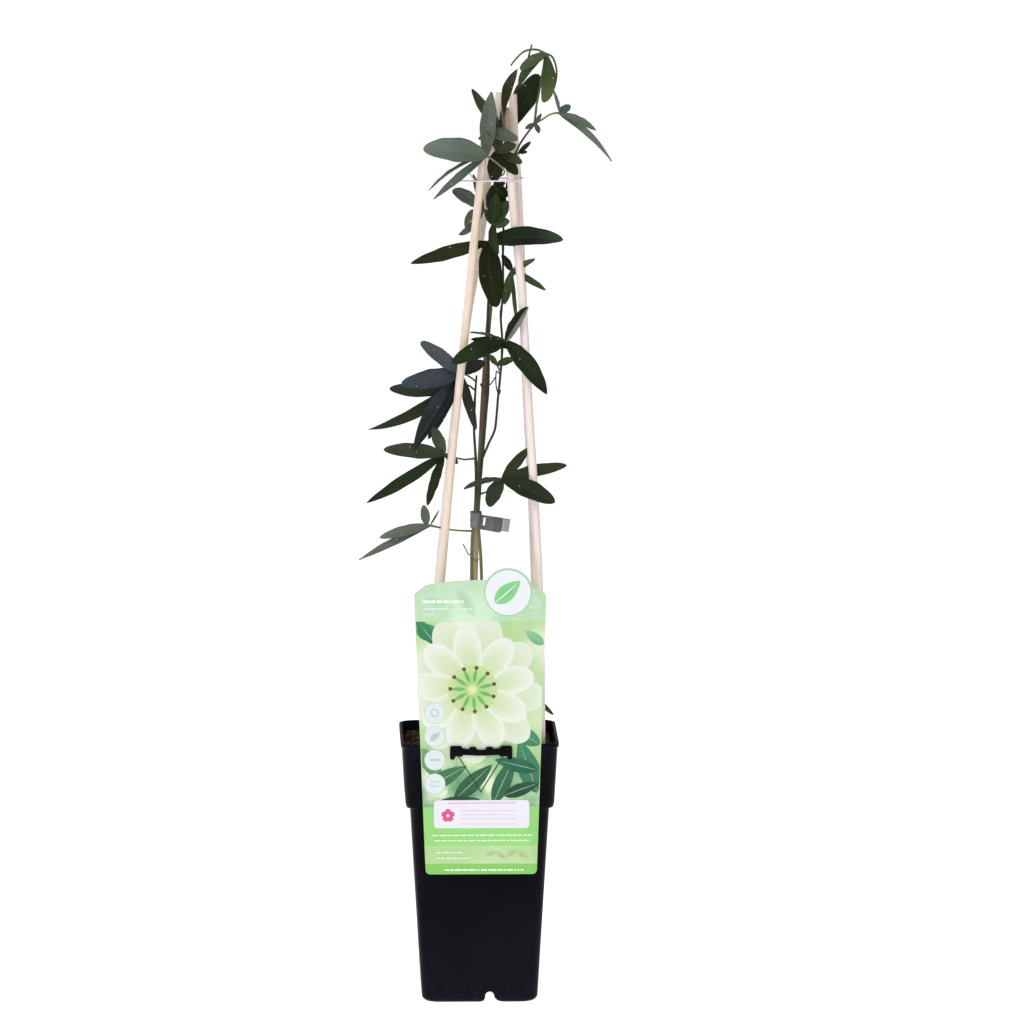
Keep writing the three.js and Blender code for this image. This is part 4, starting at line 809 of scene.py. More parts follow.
def lobe(root, row, face, seed):
    """A lobe's surface. The midrib's point at t is root + along * length * t + up * 4 * arch *
    t * (1 - t) + bow * 4 * t * (1 - t). A section spreads to both sides of it by half the
    width, each side raised by the fold, and the edges wave by a fraction of a millimetre."""
    along, side, up, length = lobe_frame(row, face)
    arch, bow = row.get("arch", 0), np.array(row.get("bow", (0, 0, 0)), float)
    fold, full = radians(row.get("fold", 16)), row.get("full", 0.5)
    turn = np.random.default_rng(seed).uniform(0, 2 * pi, 4)
    t = (1 - np.cos(np.linspace(0, pi, STATIONS))) / 2
    middle = (root - along * ROOT_SINK + np.outer(length * t, along)
              + np.outer(4 * arch * t * (1 - t), up) + np.outer(4 * t * (1 - t), bow))
    slope = 4 * arch * (1 - 2 * t) / length
    raised = unit(up - slope[:, None] * along)
    past = ((t - ROUND_FROM) / (1 - ROUND_FROM)).clip(0, 1)
    tip = np.sqrt(np.clip(1 - past**2, 0.02, 1))
    half = np.maximum(row["width"] * lobe_width(t, full, row.get("tip", 0.5)), TIP_WIDTH) / 2 * tip
    edge, ring = EDGES[None, :], t[:, None]
    size = np.sqrt(edge**2 + CREASE) - sqrt(CREASE)
    wave = RIPPLE * np.sin(9 * pi * ring + turn[0] + 1.4 * edge) * edge**2
    wave = wave * np.sin(pi * ring) * min(1, row["width"] / 10)
    margin = 1 + MARGIN_WAVE * np.sin(17 * ring + turn[1] + edge) * abs(edge)
    across = half[:, None] * edge * cos(fold) * margin
    height = half[:, None] * size * sin(fold) + wave
    thickness = (EDGE_THICK + BODY_THICK * (1 - edge**2)
                 + RIB_THICK * np.exp(-((edge / RIB_WIDTH) ** 2)))
    height = height - IS_UNDER[None, :] * thickness * np.minimum(1, half[:, None] / 1.2)
    points = middle[:, None] + side * across[..., None] + raised[:, None] * height[..., None]
    grid = np.ones_like(across)
    # tone holds painted light and shade as well as colour, and split paints one half of a fold lit and
    # the other shaded
    return skin(points, along=grid * ring, across=grid * edge, under=grid * IS_UNDER[None, :],
                span=grid * length / 100, width=grid * half[:, None] / 10,
                tone=grid * graded(row, "tone", ring) + row.get("split", 0) * np.tanh(8 * edge),
                hue=grid * graded(row, "hue", ring),
                pale=(edge + row["pale"]) * grid if "pale" in row else 0 * grid)


first_row = LEAVES["crown"]["lobes"][0]
first_lobe = lobe(np.zeros(3), first_row, unit((0.0, -1.0, 0.4)), 0)
print("points of one lobe:", len(first_lobe["points"]))

# %% [markdown]
# Between two lobes that stand side by side the blade doesn't end at the palm: a short web of
# it joins them, like the skin between two fingers. It could be left out, but the lobes would
# look stuck on. It is a thin fan whose outer edge dips in the middle.

# %% A web
WEB_REACH = 0.2  # how far out it goes, as a share of the shorter lobe
WEB_THICK = 0.45
WEB_DIP = 1.4  # how deep its outer edge curves in


def web(root, first, second, face):
    """The bit of blade that joins two neighbouring lobes near the palm: a thin fan whose outer
    edge lies at reach * (1 - dip * s * (1 - s)), where s goes from one lobe to the other."""
    a, _, up_a, length_a = lobe_frame(first, face)
    b, _, up_b, length_b = lobe_frame(second, face)
    reach = WEB_REACH * min(length_a, length_b)
    s = np.linspace(0, 1, 9)
    turn = s[:, None] * b + (1 - s[:, None]) * a
    dip = 1 - WEB_DIP * s * (1 - s)
    rim = root + unit(turn) * (reach * dip)[:, None]
    parts = np.linspace(0.05, 1, 6)[None, :, None]
    top = root + (rim - root)[:, None] * parts
    low = top - unit(up_a + up_b) * WEB_THICK
    ring = np.concatenate([top, low[:, ::-1]], axis=1)
    along = np.concatenate([parts[0, :, 0], parts[0, ::-1, 0]])[None, :] * WEB_REACH
    under = np.concatenate([np.zeros(6), np.ones(6)])[None, :] * np.ones((9, 1))
    share = s[:, None] + 0 * under
    mixed = {key: (1 - share) * graded(first, key, 0) + share * graded(second, key, 0)
             for key in ("tone", "hue")}
    return skin(ring, along=along * np.ones((9, 1)), across=0.5 + 0 * under, under=under,
                span=0.4 + 0 * under, width=0.5 + 0 * under, **mixed)


second_row = LEAVES["crown"]["lobes"][1]
first_web = web(np.zeros(3), first_row, second_row, unit((0.0, -1.0, 0.4)))
print("points of one web:", len(first_web["points"]))

# %% [markdown]
# ## Leaf finishes
# The blades are thin and leathery. Most are very dark green and glossy, one group is painted
# blue-grey as a painted reflection of the bright sky on its gloss, some turn their pale matt
# undersides to the front, and the youngest are fresh green. One green for all would look like
# plastic, and a colour for every lobe would be a long list. So there are four looks, and a
# lobe's tone and hue move it towards four others.

# %% Leaf colours
LEAF_LOOKS = {
    # upper face, its second tone, vein, sheen, light of the sheen
    "glossy": ("131e0c", "1f2e13", "3a4a2c", 0.42, 0.07),
    # blue: a painted reflection of the sky, a blue-grey base on a dark glossy leaf
    "blue": ("363d45", "252e2c", "55616a", 0.45, 0.12),
    "under": ("4f5f52", "5c6b5c", "728070", 0.62, 0.08),
    "fresh": ("2d4420", "3c5230", "5c7444", 0.5, 0.1),
}
LEAF_SHIFTS = {
    # lighter, darker, browner, bluer
    "glossy": ("6a7364", "080b05", "4a4428", "3a444c"),
    "blue": ("6b757b", "15191b", "33301f", "46525e"),
    "under": ("8b938a", "343d30", "766e68", "5a6a70"),
    "fresh": ("747c60", "141c0c", "5a5432", "3c5248"),
}
UNDERSIDE = ("45564a", "54665a", "75866f")
MARGIN, SPECK = "9c9c94", "cfd3cc"
print("looks of a leaf:", list(LEAF_LOOKS))

# %% [markdown]
# Every face has a paler midrib and slanting side veins. They could be drawn on a flat picture
# of a leaf, which would have to be fitted to each lobe. Instead they are worked out from the
# numbers along and across that every point of a lobe carries, so they follow the blade
# wherever it bends, and stay the same distance apart on long and on short lobes.

# %% Veins
VEINS_PER_UNIT = 16.5  # side veins in 100 mm
VEIN_SLANT = 1.3
VEIN_WOBBLE = 0.5


def vein_lines(add, away):
    """How much of a point lies on a midrib and on the side veins, as two shares. away is its
    distance from the midrib as a share. Side veins leave the midrib forwards, so they are
    lines of along * length minus a part of the distance from the midrib."""
    midrib = spread(add, away, 0.03, 0.11, 1, 0)
    out = times(add, away, reading(add, "width"))
    forward = times(add, reading(add, "along"), reading(add, "span"))
    phase = worked(add, "SUBTRACT", times(add, forward, VEINS_PER_UNIT), times(add, out, VEIN_SLANT))
    phase = worked(add, "ADD", phase, times(add, noise(add, 120, 2), VEIN_WOBBLE))
    side = spread(add, worked(add, "PINGPONG", phase, 0.5), 0.0, 0.11, 1, 0)
    fade = spread(add, away, 0.75, 1.0, 1, 0)
    return midrib, times(add, side, fade)


print("a side vein every", round(100 / VEINS_PER_UNIT, 1), "mm")

# %% [markdown]
# A few tiny pale specks lie on the upper faces. Small flakes of mesh could
# stand for them, but a cell pattern costs nothing: each cell has one middle, and only the
# cells whose random number is high show it as a speck.

# %% Specks
SPECK_CELLS = 190.0
SPECK_CHOICE = 0.78  # cells below this number stay bare


def speck_share(add):
    """How much of a point is covered by a speck."""
    cells = add("TexVoronoi", {"Vector": add("TexCoord").outputs["Object"], "Scale": SPECK_CELLS})
    near = spread(add, cells.outputs["Distance"], 0.06, 0.11, 1, 0)
    chosen = add("SeparateColor", {0: cells.outputs["Color"]}).outputs[0]
    return times(add, times(add, near, worked(add, "GREATER_THAN", chosen, SPECK_CHOICE)), 0.75)


print("width of a speck's cell:", round(1000 / SPECK_CELLS, 1), "mm")

# %% [markdown]
# Upper face and underside are two materials, since the underside is paler, duller and has
# raised veins where the upper face has sunken ones. One material could ask which side it is
# seen from, but the blade has real thickness, so each face simply takes its own.

# %% Leaf materials
def leaf_material(look, back):
    """One face of a leaf: its colours, veins, cloudy tone and specks. back is the underside."""
    tone, second, vein, rough, sheen = LEAF_LOOKS[look]
    if back and look != "under":
        tone, second, vein = UNDERSIDE
        rough, sheen = 0.6, 0.1
    name = "leaf_" + look + ("_back" if back else "")
    material, add, join = start_material(name, Specular_IOR_Level=sheen)
    clouds = noise(add, 38, 5)
    grain = noise(add, 420, 3)
    base = blended(add, spread(add, clouds, 0.36, 0.64), tone, second)
    base = blended(add, spread(add, grain, 0.35, 0.8, 0, 0.3), base, second)
    lighter, darker, browner, bluer = LEAF_SHIFTS["under" if back else look]
    tone_of, hue_of = reading(add, "tone"), reading(add, "hue")
    base = blended(add, tone_of, base, lighter)
    base = blended(add, times(add, tone_of, -1), base, darker)
    base = blended(add, hue_of, base, browner)
    base = blended(add, times(add, hue_of, -1), base, bluer)
    base = blended(add, spread(add, reading(add, "pale"), 0.05, 0.3, 0, 0.8), base, MARGIN)
    away = worked(add, "ABSOLUTE", reading(add, "across"))
    midrib, side = vein_lines(add, away)
    for share in (times(add, side, 0.08), times(add, midrib, 0.22), spread(add, away, 0.93, 1, 0, 0.3)):
        base = blended(add, share, base, vein)
    if not back:
        base = blended(add, speck_share(add), base, SPECK)
    join(base, "Base Color")
    join(spread(add, clouds, 0.3, 0.7, rough - 0.06, rough + 0.08), "Roughness")
    relief = worked(add, "ADD", times(add, side, 0.6 if back else -0.5), grain)
    bumped(add, join, relief, 0.22)
    return material


FINISHES = {
    look: [leaf_material(look, False), leaf_material(look, True)] for look in LEAF_LOOKS
}
print("leaf materials:", [one.name for pair in FINISHES.values() for one in pair])

# %% [markdown]
# A stalk is a plain green rod with a dull shine and soft streaks. It could share the stem's
# bark, but it is fresher than the stem and takes after its own leaf, so each look has one.

# %% Stalk materials
def stalk_material(name, tone, second):
    """A leaf stalk: plain green with streaks and a dull shine."""
    material, add, join = start_material(name, Roughness=0.5, Specular_IOR_Level=0.3)
    streaks = noise(add, 300, 3)
    base = blended(add, spread(add, streaks, 0.35, 0.7), tone, second)
    join(base, "Base Color")
    bumped(add, join, streaks, 0.1)
    return material


STALK_TONES = {
    "glossy": ("39452b", "55613d"), "blue": ("3f4a36", "5a6548"),
    "under": ("686848", "7d7a58"), "fresh": ("3f4a34", "566244"),
}
STALKS = {
    look: stalk_material("stalk_" + look, *tones) for look, tones in STALK_TONES.items()
}
print("stalk materials:", [one.name for one in STALKS.values()])

# %% [markdown]
# ## All the leaves
# Each leaf is one object: a stalk that widens at both ends, a fan of lobes on its palm, and
# short webs between neighbours. A lobe with a root of its own is a small ear at the stalk's
# foot, and threads are the curled young tips. The webs could be listed by hand. It is safer
# to sort the lobes by their angle and join each to the next, unless they stand too far
# apart.

# %% Parts of a leaf
STALK_RADIUS = 0.9
LEAF_FACE = (0, -1, 0.4)  # leaves look to the front and a little up
WEB_GAPS = (0.15, 1.75)  # angles between lobes that a web joins, in radians


def stalk_radius(t, _):
    """A stalk's radius along the way: thicker at both ends, most where it meets the palm."""
    return STALK_RADIUS * (0.78 + 0.22 * np.abs(2 * t - 1) ** 3 + 0.3 * t**12)


def thread_radius(t, _):
    """A curled young tip's radius: it thins towards its end."""
    return STALK_RADIUS * (1 - 0.3 * t)


def in_order(lobes, face):
    """The lobes of a fan from one side to the other, by their angle about the palm."""
    side = np.cross(unit(np.sum([unit(one["reach"]) for one in lobes], axis=0)), face)
    up = np.cross(side, face)
    return sorted(lobes, key=lambda one: atan2(one["reach"] @ side, -(one["reach"] @ up)))


def leaf_surfaces(row, seed):
    """All surfaces of a leaf: stalk, lobes, webs and threads, with their material numbers."""
    stalk = row["stalk"]
    palm = np.array(stalk[-1], float)
    face = unit(row.get("face", LEAF_FACE))
    surfaces = [(tube(stalk, stalk_radius, 12, 40), 2)]
    for number, one in enumerate(row["lobes"]):
        root = np.array(one.get("root", palm), float)
        surfaces.append((lobe(root, one, face, seed * 10 + number), 0))
    ordered = in_order([one for one in row["lobes"] if "root" not in one], face)
    for one, two in zip(ordered, ordered[1:]):
        gap = acos(float(np.clip(unit(one["reach"]) @ unit(two["reach"]), -1, 1)))
        if WEB_GAPS[0] < gap < WEB_GAPS[1]:
            surfaces.append((web(palm, one, two, face), 0))
    for route in row.get("threads", []):
        surfaces.append((tube(route, thread_radius, 10, 50), 2))
    return surfaces


print("surfaces of the crown leaf:", len(leaf_surfaces(LEAVES["crown"], 0)))

# %% Leaves
for seed, (name, row) in enumerate(LEAVES.items()):
    look = row["finish"]
    materials = FINISHES[look] + [STALKS[look]]
    leaf = piece("leaf_" + name + "_fine", leaf_surfaces(row, seed), materials)
    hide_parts("leaf_" + name)

# %% [markdown]
# ## The pot
# A tall square pot, injection moulded from black plastic, with a wider collar and a bead
# round its rim. A cube with bevels would give a first pot quickly, but the lean of the walls
# and the rounding of the corners change with height. So the pot is one run of rounded square
# rings, from the base up over the rim and down the inside.

# %% Pot measures
POT_HEIGHT = 206
WALL = 1.6
FLOOR = 2.6
FOOT_HALF, FOOT_RADIUS = 44.8, 6
NECK_HALF = 53.8
COLLAR_HALF, RIM_HALF = 57.4, 60.4
BEAD, BEAD_HEIGHT = 0.8, 4
COLLAR_Z = 154
CORNER_FOOT, CORNER_RIM = 9, 12
FLOOR_BEVEL = 3.4


def body_half(z):
    """Half the body's width at height z."""
    return FOOT_HALF + (NECK_HALF - FOOT_HALF) * z / COLLAR_Z


def collar_half(z):
    """Half the collar's width at height z."""
    return COLLAR_HALF + (RIM_HALF - COLLAR_HALF) * (z - COLLAR_Z) / (POT_HEIGHT - COLLAR_Z)


def inner_half(z):
    """Half the width of the hollow at height z."""
    return (collar_half(z) if z > COLLAR_Z + WALL else body_half(z)) - WALL


def corner_at(z):
    """The radius of the pot's upright edges at height z."""
    return CORNER_FOOT + (CORNER_RIM - CORNER_FOOT) * z / POT_HEIGHT


print("pot's width at foot and rim:", 2 * body_half(0), 2 * (RIM_HALF + BEAD), "mm")


# %% Square rings and plates
def square_ring(half, corner, z, per_corner=12, per_side=6):
    """A square with round corners at height z, with points spread over arcs and sides."""
    straight = half - corner
    arc = np.linspace(0, pi / 2, per_corner + 1)
    quarter = straight + corner * np.stack([np.cos(arc), np.sin(arc)], 1)
    step = np.linspace(0, 1, per_side + 1)[1:-1, None]
    quarter = np.vstack([quarter, quarter[-1] + ([-straight, half] - quarter[-1]) * step])
    turns = [
        np.array([[cos(a), sin(a)], [-sin(a), cos(a)]])
        for a in np.arange(4) * pi / 2
    ]
    ring = np.vstack([quarter @ turn for turn in turns])
    return np.column_stack([ring, np.full(len(ring), z)])


def in_plane(outline, y):
    """An outline in X and Z, set at one depth."""
    return np.column_stack([outline[:, 0], np.full(len(outline), y), outline[:, 1]])


def plate(outline, back, depth):
    """A flat outline in X and Z, given depth along Y from the plane y = back towards -Y."""
    outline = np.array(outline, float)
    return skin([in_plane(outline, back), in_plane(outline, back - depth)])


print("points of a square ring:", len(square_ring(FOOT_HALF, CORNER_FOOT, 0)))

# %% [markdown]
# Holes and added parts could be woven into the rings, point by point. Blender's boolean
# modifier cuts one closed mesh out of another, or joins it on, and its bevel modifier rounds
# the sharp edges that are left. Both are applied at once, so that what follows sees the
# finished mesh.

# %% Cutting and softening
SHARP = 40  # edges that turn by more degrees stay sharp


def applied(target):
    """Turns what a piece's modifiers make into its own mesh."""
    bpy.context.view_layer.update()
    result = bpy.data.meshes.new_from_object(
        target.evaluated_get(bpy.context.evaluated_depsgraph_get()))
    target.modifiers.clear()
    target.data = result


def smoothed(target):
    """Shades a piece smoothly, but for its sharp edges."""
    target.data.polygons.foreach_set("use_smooth", [True] * len(target.data.polygons))
    target.data.set_sharp_from_angle(angle=radians(SHARP))


def boolean(target, cutter, how):
    """Cuts a mesh out of another, or adds it, and removes the cutter."""
    change = target.modifiers.new(how.lower(), "BOOLEAN")
    change.operation, change.object, change.solver = how, cutter, "EXACT"
    applied(target)
    bpy.data.objects.remove(cutter)


def softened(target, width, segments=3, limit=35):
    """Rounds the edges that turn by more than a limit."""
    change = target.modifiers.new("soft edges", "BEVEL")
    change.width, change.segments, change.limit_method = width * MM, segments, "ANGLE"
    change.angle_limit = radians(limit)
    change.harden_normals = False
    applied(target)
    smoothed(target)


print("edges stay sharp above", SHARP, "degrees")

# %% [markdown]
# The plastic is near black with a bluish cast and a satin shine. One black with one shine
# would look like a hole in the scene. Real plastic has a faint vertical grain from the mould,
# a film of dust near the floor, and scuffs that vary its shine, so three noises are mixed.

# %% Pot finish
def pot_material():
    """Near-black satin plastic."""
    material, add, join = start_material("pot_black", Specular_IOR_Level=0.035)
    clouds = noise(add, 9, 4)
    fine = noise(add, 320, 3, stretch=(1, 1, 0.25))
    scuffs = noise(add, 60, 5, stretch=(1, 1, 0.5))
    base = blended(add, spread(add, clouds, 0.35, 0.65), "0a0a10", "101018")
    base = blended(add, spread(add, scuffs, 0.62, 0.85, 0, 0.35), base, "16161f")
    low = spread(add, height_of(add), 0, 0.03, 1, 0)
    dust = times(add, times(add, low, spread(add, fine, 0.4, 0.8)), 0.25)
    base = blended(add, dust, base, "2a292b")
    join(base, "Base Color")
    join(spread(add, scuffs, 0.3, 0.7, 0.30, 0.42), "Roughness")
    bumped(add, join, fine, 0.05)
    return material


pot_skin = pot_material()
print("plastic nodes:", len(pot_skin.node_tree.nodes))

# %% [markdown]
# The profile runs up the outside: a rounded foot, the wall, a step out to the collar, the
# collar, and the bead. Then it turns over the rim and goes down the inside to the floor. Each
# of its points is half a width and a height, and becomes one square ring.

# %% Pot body
foot_turn = np.linspace(0, pi / 2, 8)
outer = [
    (body_half(FOOT_RADIUS) - FOOT_RADIUS * (1 - sin(a)), FOOT_RADIUS * (1 - cos(a)))
    for a in foot_turn
]
outer += [(body_half(z), z) for z in np.linspace(20, COLLAR_Z - 0.5, 12)]
outer += [
    (body_half(COLLAR_Z) + 0.35, COLLAR_Z - 0.1), (COLLAR_HALF - 1.9, COLLAR_Z + 0.2),
    (COLLAR_HALF - 0.9, COLLAR_Z + 0.55), (COLLAR_HALF - 0.35, COLLAR_Z + 1.3),
    (collar_half(COLLAR_Z + 4), COLLAR_Z + 4),
]
bead_foot = POT_HEIGHT - BEAD_HEIGHT
bead_half = RIM_HALF + BEAD
outer += [(collar_half(z), z) for z in np.linspace(COLLAR_Z + 12, bead_foot - 0.5, 5)]
outer += [
    (RIM_HALF + 0.1, bead_foot - 0.05), (bead_half - 0.25, bead_foot + 0.35),
    (bead_half, bead_foot + 0.8), (bead_half, POT_HEIGHT - 0.9), (bead_half - 0.12, POT_HEIGHT - 0.4),
    (bead_half - 0.4, POT_HEIGHT - 0.1), (bead_half - 0.8, POT_HEIGHT),
]
inner = [
    (RIM_HALF - WALL + 0.5, POT_HEIGHT), (RIM_HALF - WALL + 0.12, POT_HEIGHT - 0.15),
    (RIM_HALF - WALL, POT_HEIGHT - 0.6),
]
inner += [(inner_half(z), z) for z in np.linspace(196, COLLAR_Z + WALL + 3, 4)]
inner += [
    (inner_half(COLLAR_Z), COLLAR_Z - 1), (inner_half(FLOOR + FLOOR_BEVEL), FLOOR + FLOOR_BEVEL),
    (inner_half(FLOOR) - FLOOR_BEVEL, FLOOR),
]
rings = [square_ring(half, corner_at(z), z) for half, z in outer]
rings += [square_ring(half, corner_at(z) - WALL, z) for half, z in inner]
pot = piece("pot_fine", [(skin(rings), 0)], [pot_skin], sharp=45)

# %% [markdown]
# Water runs out of the pot through two round channels that cross under its base, and the
# floor rises over them in two ridges. Both could be modelled into the rings, but only where
# ring and channel meet at right angles. Joining the ridges on and then cutting the channels
# out keeps every wall as thick as it is.

# %% Drain channels
DRAIN_OFFSET, DRAIN_WIDTH, DRAIN_HEIGHT = 7.6, 6.9, 9
DRAIN_FLARE = (5.4, 8.6)


def arch_outline(width, height, flare=(0, 0)):
    """The section of a drain channel: a round arch whose foot spreads by two flares."""
    half, spring = width / 2, height - width / 2
    turn = np.linspace(0, pi, 17)
    crown = np.column_stack([half * np.cos(turn), spring + half * np.sin(turn)])
    s = np.linspace(0, 1, 9)[1:-1, None]
    foot_r, foot_l = np.array([half + flare[1], 0.0]), np.array([-half - flare[0], 0.0])
    bend_r, bend_l = np.array([half + 0.16 * flare[1], 0.8]), np.array([-half, 0.6])
    right = (1 - s) ** 2 * foot_r + 2 * s * (1 - s) * bend_r + s**2 * crown[0]
    left = (1 - s) ** 2 * crown[-1] + 2 * s * (1 - s) * bend_l + s**2 * foot_l
    below = np.array([foot_l, [foot_l[0], -1.0], [foot_r[0], -1.0], foot_r])
    outline = np.vstack([right, crown, left, below])
    return outline + [DRAIN_OFFSET, 0]


print("width of a channel's foot:", DRAIN_WIDTH + sum(DRAIN_FLARE), "mm")

# %% [markdown]
# Each channel crosses the other, so every surface is made once along Y and turned once along
# X. The ridges go on first, then the channels are cut through ridge and wall alike.

# %% Ridges and channels
def crossed(surface):
    """A surface that runs along Y, and the same turned along X."""
    return [surface, dict(surface, points=surface["points"][:, [1, 0, 2]] * [-1, 1, 1])]


def channels():
    """The two channels, whose outline flares at its foot."""
    outline = arch_outline(DRAIN_WIDTH, DRAIN_HEIGHT, DRAIN_FLARE)
    reach = FOOT_HALF + 5
    return crossed(plate(outline, reach, 2 * reach))


def ridges(extra):
    """The two ridges inside the pot that roof the channels, as thick as the pot's wall."""
    outline = arch_outline(DRAIN_WIDTH + 2 * (WALL + extra), DRAIN_HEIGHT + WALL + extra)
    outline[:, 1] = np.maximum(outline[:, 1], 1)
    reach = FOOT_HALF - 1
    return crossed(plate(outline, reach, 2 * reach))


def carve(target, surfaces, how, material):
    """Adds surfaces to a piece, or cuts them out of it, one after another."""
    for number, surface in enumerate(surfaces):
        boolean(target, piece(f"tool_{number}", [(surface, 0)], [material]), how)


carve(pot, ridges(0), "UNION", pot_skin)
carve(pot, channels(), "DIFFERENCE", pot_skin)
smoothed(pot)
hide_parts("pot")
print("pot faces:", len(pot.data.polygons))

# %% [markdown]
# The anchor is a flat moulded bar with two lobes, on two short posts. The label hangs behind
# it. Its outline changes only along X, so it needs no modelling by hand: two lines give its
# upper and its lower edge, and a ring of four corners stands at each of their points.

# %% Anchor
LABEL_BACK = -(RIM_HALF + BEAD) - 0.3
LABEL_THICK = 0.8
HOOK_FRONT = LABEL_BACK - LABEL_THICK - 0.3
HOOK_X, HOOK_DEPTH = 0.6, 2
HOOK_TOP = np.array([
    (3, 202.2), (4.4, 204.4), (8.4, 204.4), (9.8, 202.6), (14.4, 203.4), (15.6, 205.2),
    (23, 205.2), (24, 204.2),
])
HOOK_FOOT = np.array([
    (3, 197.6), (13.8, 198.2), (14.8, 196.8), (19.8, 197.2), (20.8, 194.7), (23, 194.5), (24, 195.4),
])
x = np.unique(np.concatenate([HOOK_TOP[:, 0], HOOK_FOOT[:, 0]]))
x = np.concatenate([-x[::-1], x])
top, foot = (np.interp(abs(x), *edge.T) for edge in (HOOK_TOP, HOOK_FOOT))
near, far = np.full(len(x), HOOK_FRONT - HOOK_DEPTH), np.full(len(x), HOOK_FRONT)
edges = [(near, top), (near, foot), (far, foot), (far, top)]
rings = np.stack([np.column_stack([HOOK_X + x, y, z]) for y, z in edges], axis=1)
hook_surfaces = [(skin(rings), 0)]
POST_BACK, POST_FRONT = -RIM_HALF + 1, HOOK_FRONT - 1
POST_HALF, POST_Z = 1.5, (199, 202.4)


def oblong(x, z):
    """The outline of a rectangle."""
    return [(x[0], z[0]), (x[1], z[0]), (x[1], z[1]), (x[0], z[1])]


for x in (-5.7, 7):
    post = oblong((x - POST_HALF, x + POST_HALF), POST_Z)
    hook_surfaces.append((plate(post, POST_BACK, POST_BACK - POST_FRONT), 0))
hook = piece("pot_anchor", hook_surfaces, [pot_skin])
softened(hook, 0.35)
print("anchor faces:", len(hook.data.polygons))

# %% [markdown]
# ## Soil
# Peat compost fills the pot to just under its rim. Its top could be a flat square with a
# bumpy texture, but from a little above one sees that soil is lumpy at its border too. So the
# top is a fine grid, whose height follows waves of three sizes.

# %% The soil's top
SOIL_LEVEL = 197.5
SOIL_FIT = 0.4  # the gap between soil and pot


def soil_height(x, y):
    """The height of the soil's top: broad swells, small lumps and a fine roughness."""
    bump = np.sin(x * 0.21 + 1) * np.cos(y * 0.17) + 0.6 * np.sin(x * 0.5 - y * 0.4)
    small = np.sin(x * 1.3 + 2 * np.sin(y * 0.7)) * np.cos(y * 1.1 + 1.4 * np.sin(x * 0.9))
    fine = np.sin(x * 2.9 + 3 * np.sin(y * 1.7)) * np.sin(y * 2.6 - 2 * np.cos(x * 1.9))
    return SOIL_LEVEL + 1.3 * bump + 0.55 * small + 0.3 * fine


print("height of the soil in the middle:", round(float(soil_height(0.0, 0.0)), 1), "mm")

# %% [markdown]
# Peat is dark brown and crumbly, with lighter fibres. The same recipe with other colours also
# serves for the paler crumbs and the grit. A bump of half a millimetre or more is shading
# alone; smaller lumps than the grid's would need millions of faces.

# %% Peat
def soil_material(name, tones, depth):
    """Crumbly dark brown peat with lighter fibres."""
    material, add, join = start_material(name, Roughness=0.95, Specular_IOR_Level=0.1)
    lumps = noise(add, 170, 6, rough=0.7)
    grit = noise(add, 700, 4)
    base = blended(add, spread(add, lumps, 0.36, 0.62), tones[0], tones[1])
    base = blended(add, spread(add, grit, 0.56, 0.72, 0, 0.8), base, tones[2])
    join(base, "Base Color")
    bumped(add, join, worked(add, "ADD", lumps, times(add, grit, 0.4)), depth)
    return material


peat = soil_material("peat", ("2e2118", "4b3727", "7a614a"), 1.2)
light_peat = soil_material("light_peat", ("5a4330", "3b2b1f", "8d7458"), 0.6)
grit_stone = soil_material("grit", ("a99b86", "8c7b66", "d6cbb8"), 0.3)
print("soil materials:", peat.name, light_peat.name, grit_stone.name)

# %% The lump of soil
TOP_RINGS = 46
BORDER_DROP = 1.2  # the outermost ring of the top lies lower
sides = [(FLOOR + 0.3, FLOOR_BEVEL), (FLOOR + FLOOR_BEVEL + 0.3, 0), (60, 0), (COLLAR_Z - 1.4, 0),
         (COLLAR_Z + WALL + 3.6, 0), (SOIL_LEVEL - 3, 0)]
rings = [
    square_ring(inner_half(z) - inset - SOIL_FIT, corner_at(z) - WALL, z) for z, inset in sides
]
top_half = inner_half(SOIL_LEVEL) - SOIL_FIT
for part in np.concatenate([[0.985], np.linspace(0.96, 0.02, TOP_RINGS)]):
    ring = square_ring(top_half * part, (corner_at(SOIL_LEVEL) - WALL) * part, SOIL_LEVEL)
    ring[:, 2] = soil_height(ring[:, 0], ring[:, 1]) - BORDER_DROP * (part > 0.97)
    rings.append(ring)
soil = piece("soil_fine", [(skin(rings), 0)], [peat])
carve(soil, ridges(0.3), "DIFFERENCE", peat)
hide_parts("soil")
print("soil faces:", len(soil.data.polygons))

# %% [markdown]
# Loose crumbs of peat and some pale grit lie on the top. Blender can scatter copies of one
# stone, but here each is a shape of its own: the twenty-sided block with its corners shifted
# and its sides stretched, which is the roundest body with so few faces. All lie in one mesh.

# %% Crumbs
PHI = (1 + sqrt(5)) / 2
ICO_POINTS = unit(np.array([
    (-1, PHI, 0), (1, PHI, 0), (-1, -PHI, 0), (1, -PHI, 0), (0, -1, PHI), (0, 1, PHI),
    (0, -1, -PHI), (0, 1, -PHI), (PHI, 0, -1), (PHI, 0, 1), (-PHI, 0, -1), (-PHI, 0, 1),
]))
ICO_FACES = np.array([
    (0, 11, 5), (0, 5, 1), (0, 1, 7), (0, 7, 10), (0, 10, 11), (1, 5, 9), (5, 11, 4), (11, 10, 2),
    (10, 7, 6), (7, 1, 8), (3, 9, 4), (3, 4, 2), (3, 2, 6), (3, 6, 8), (3, 8, 9), (4, 9, 5),
    (2, 4, 11), (6, 2, 10), (8, 6, 7), (9, 8, 1),
])


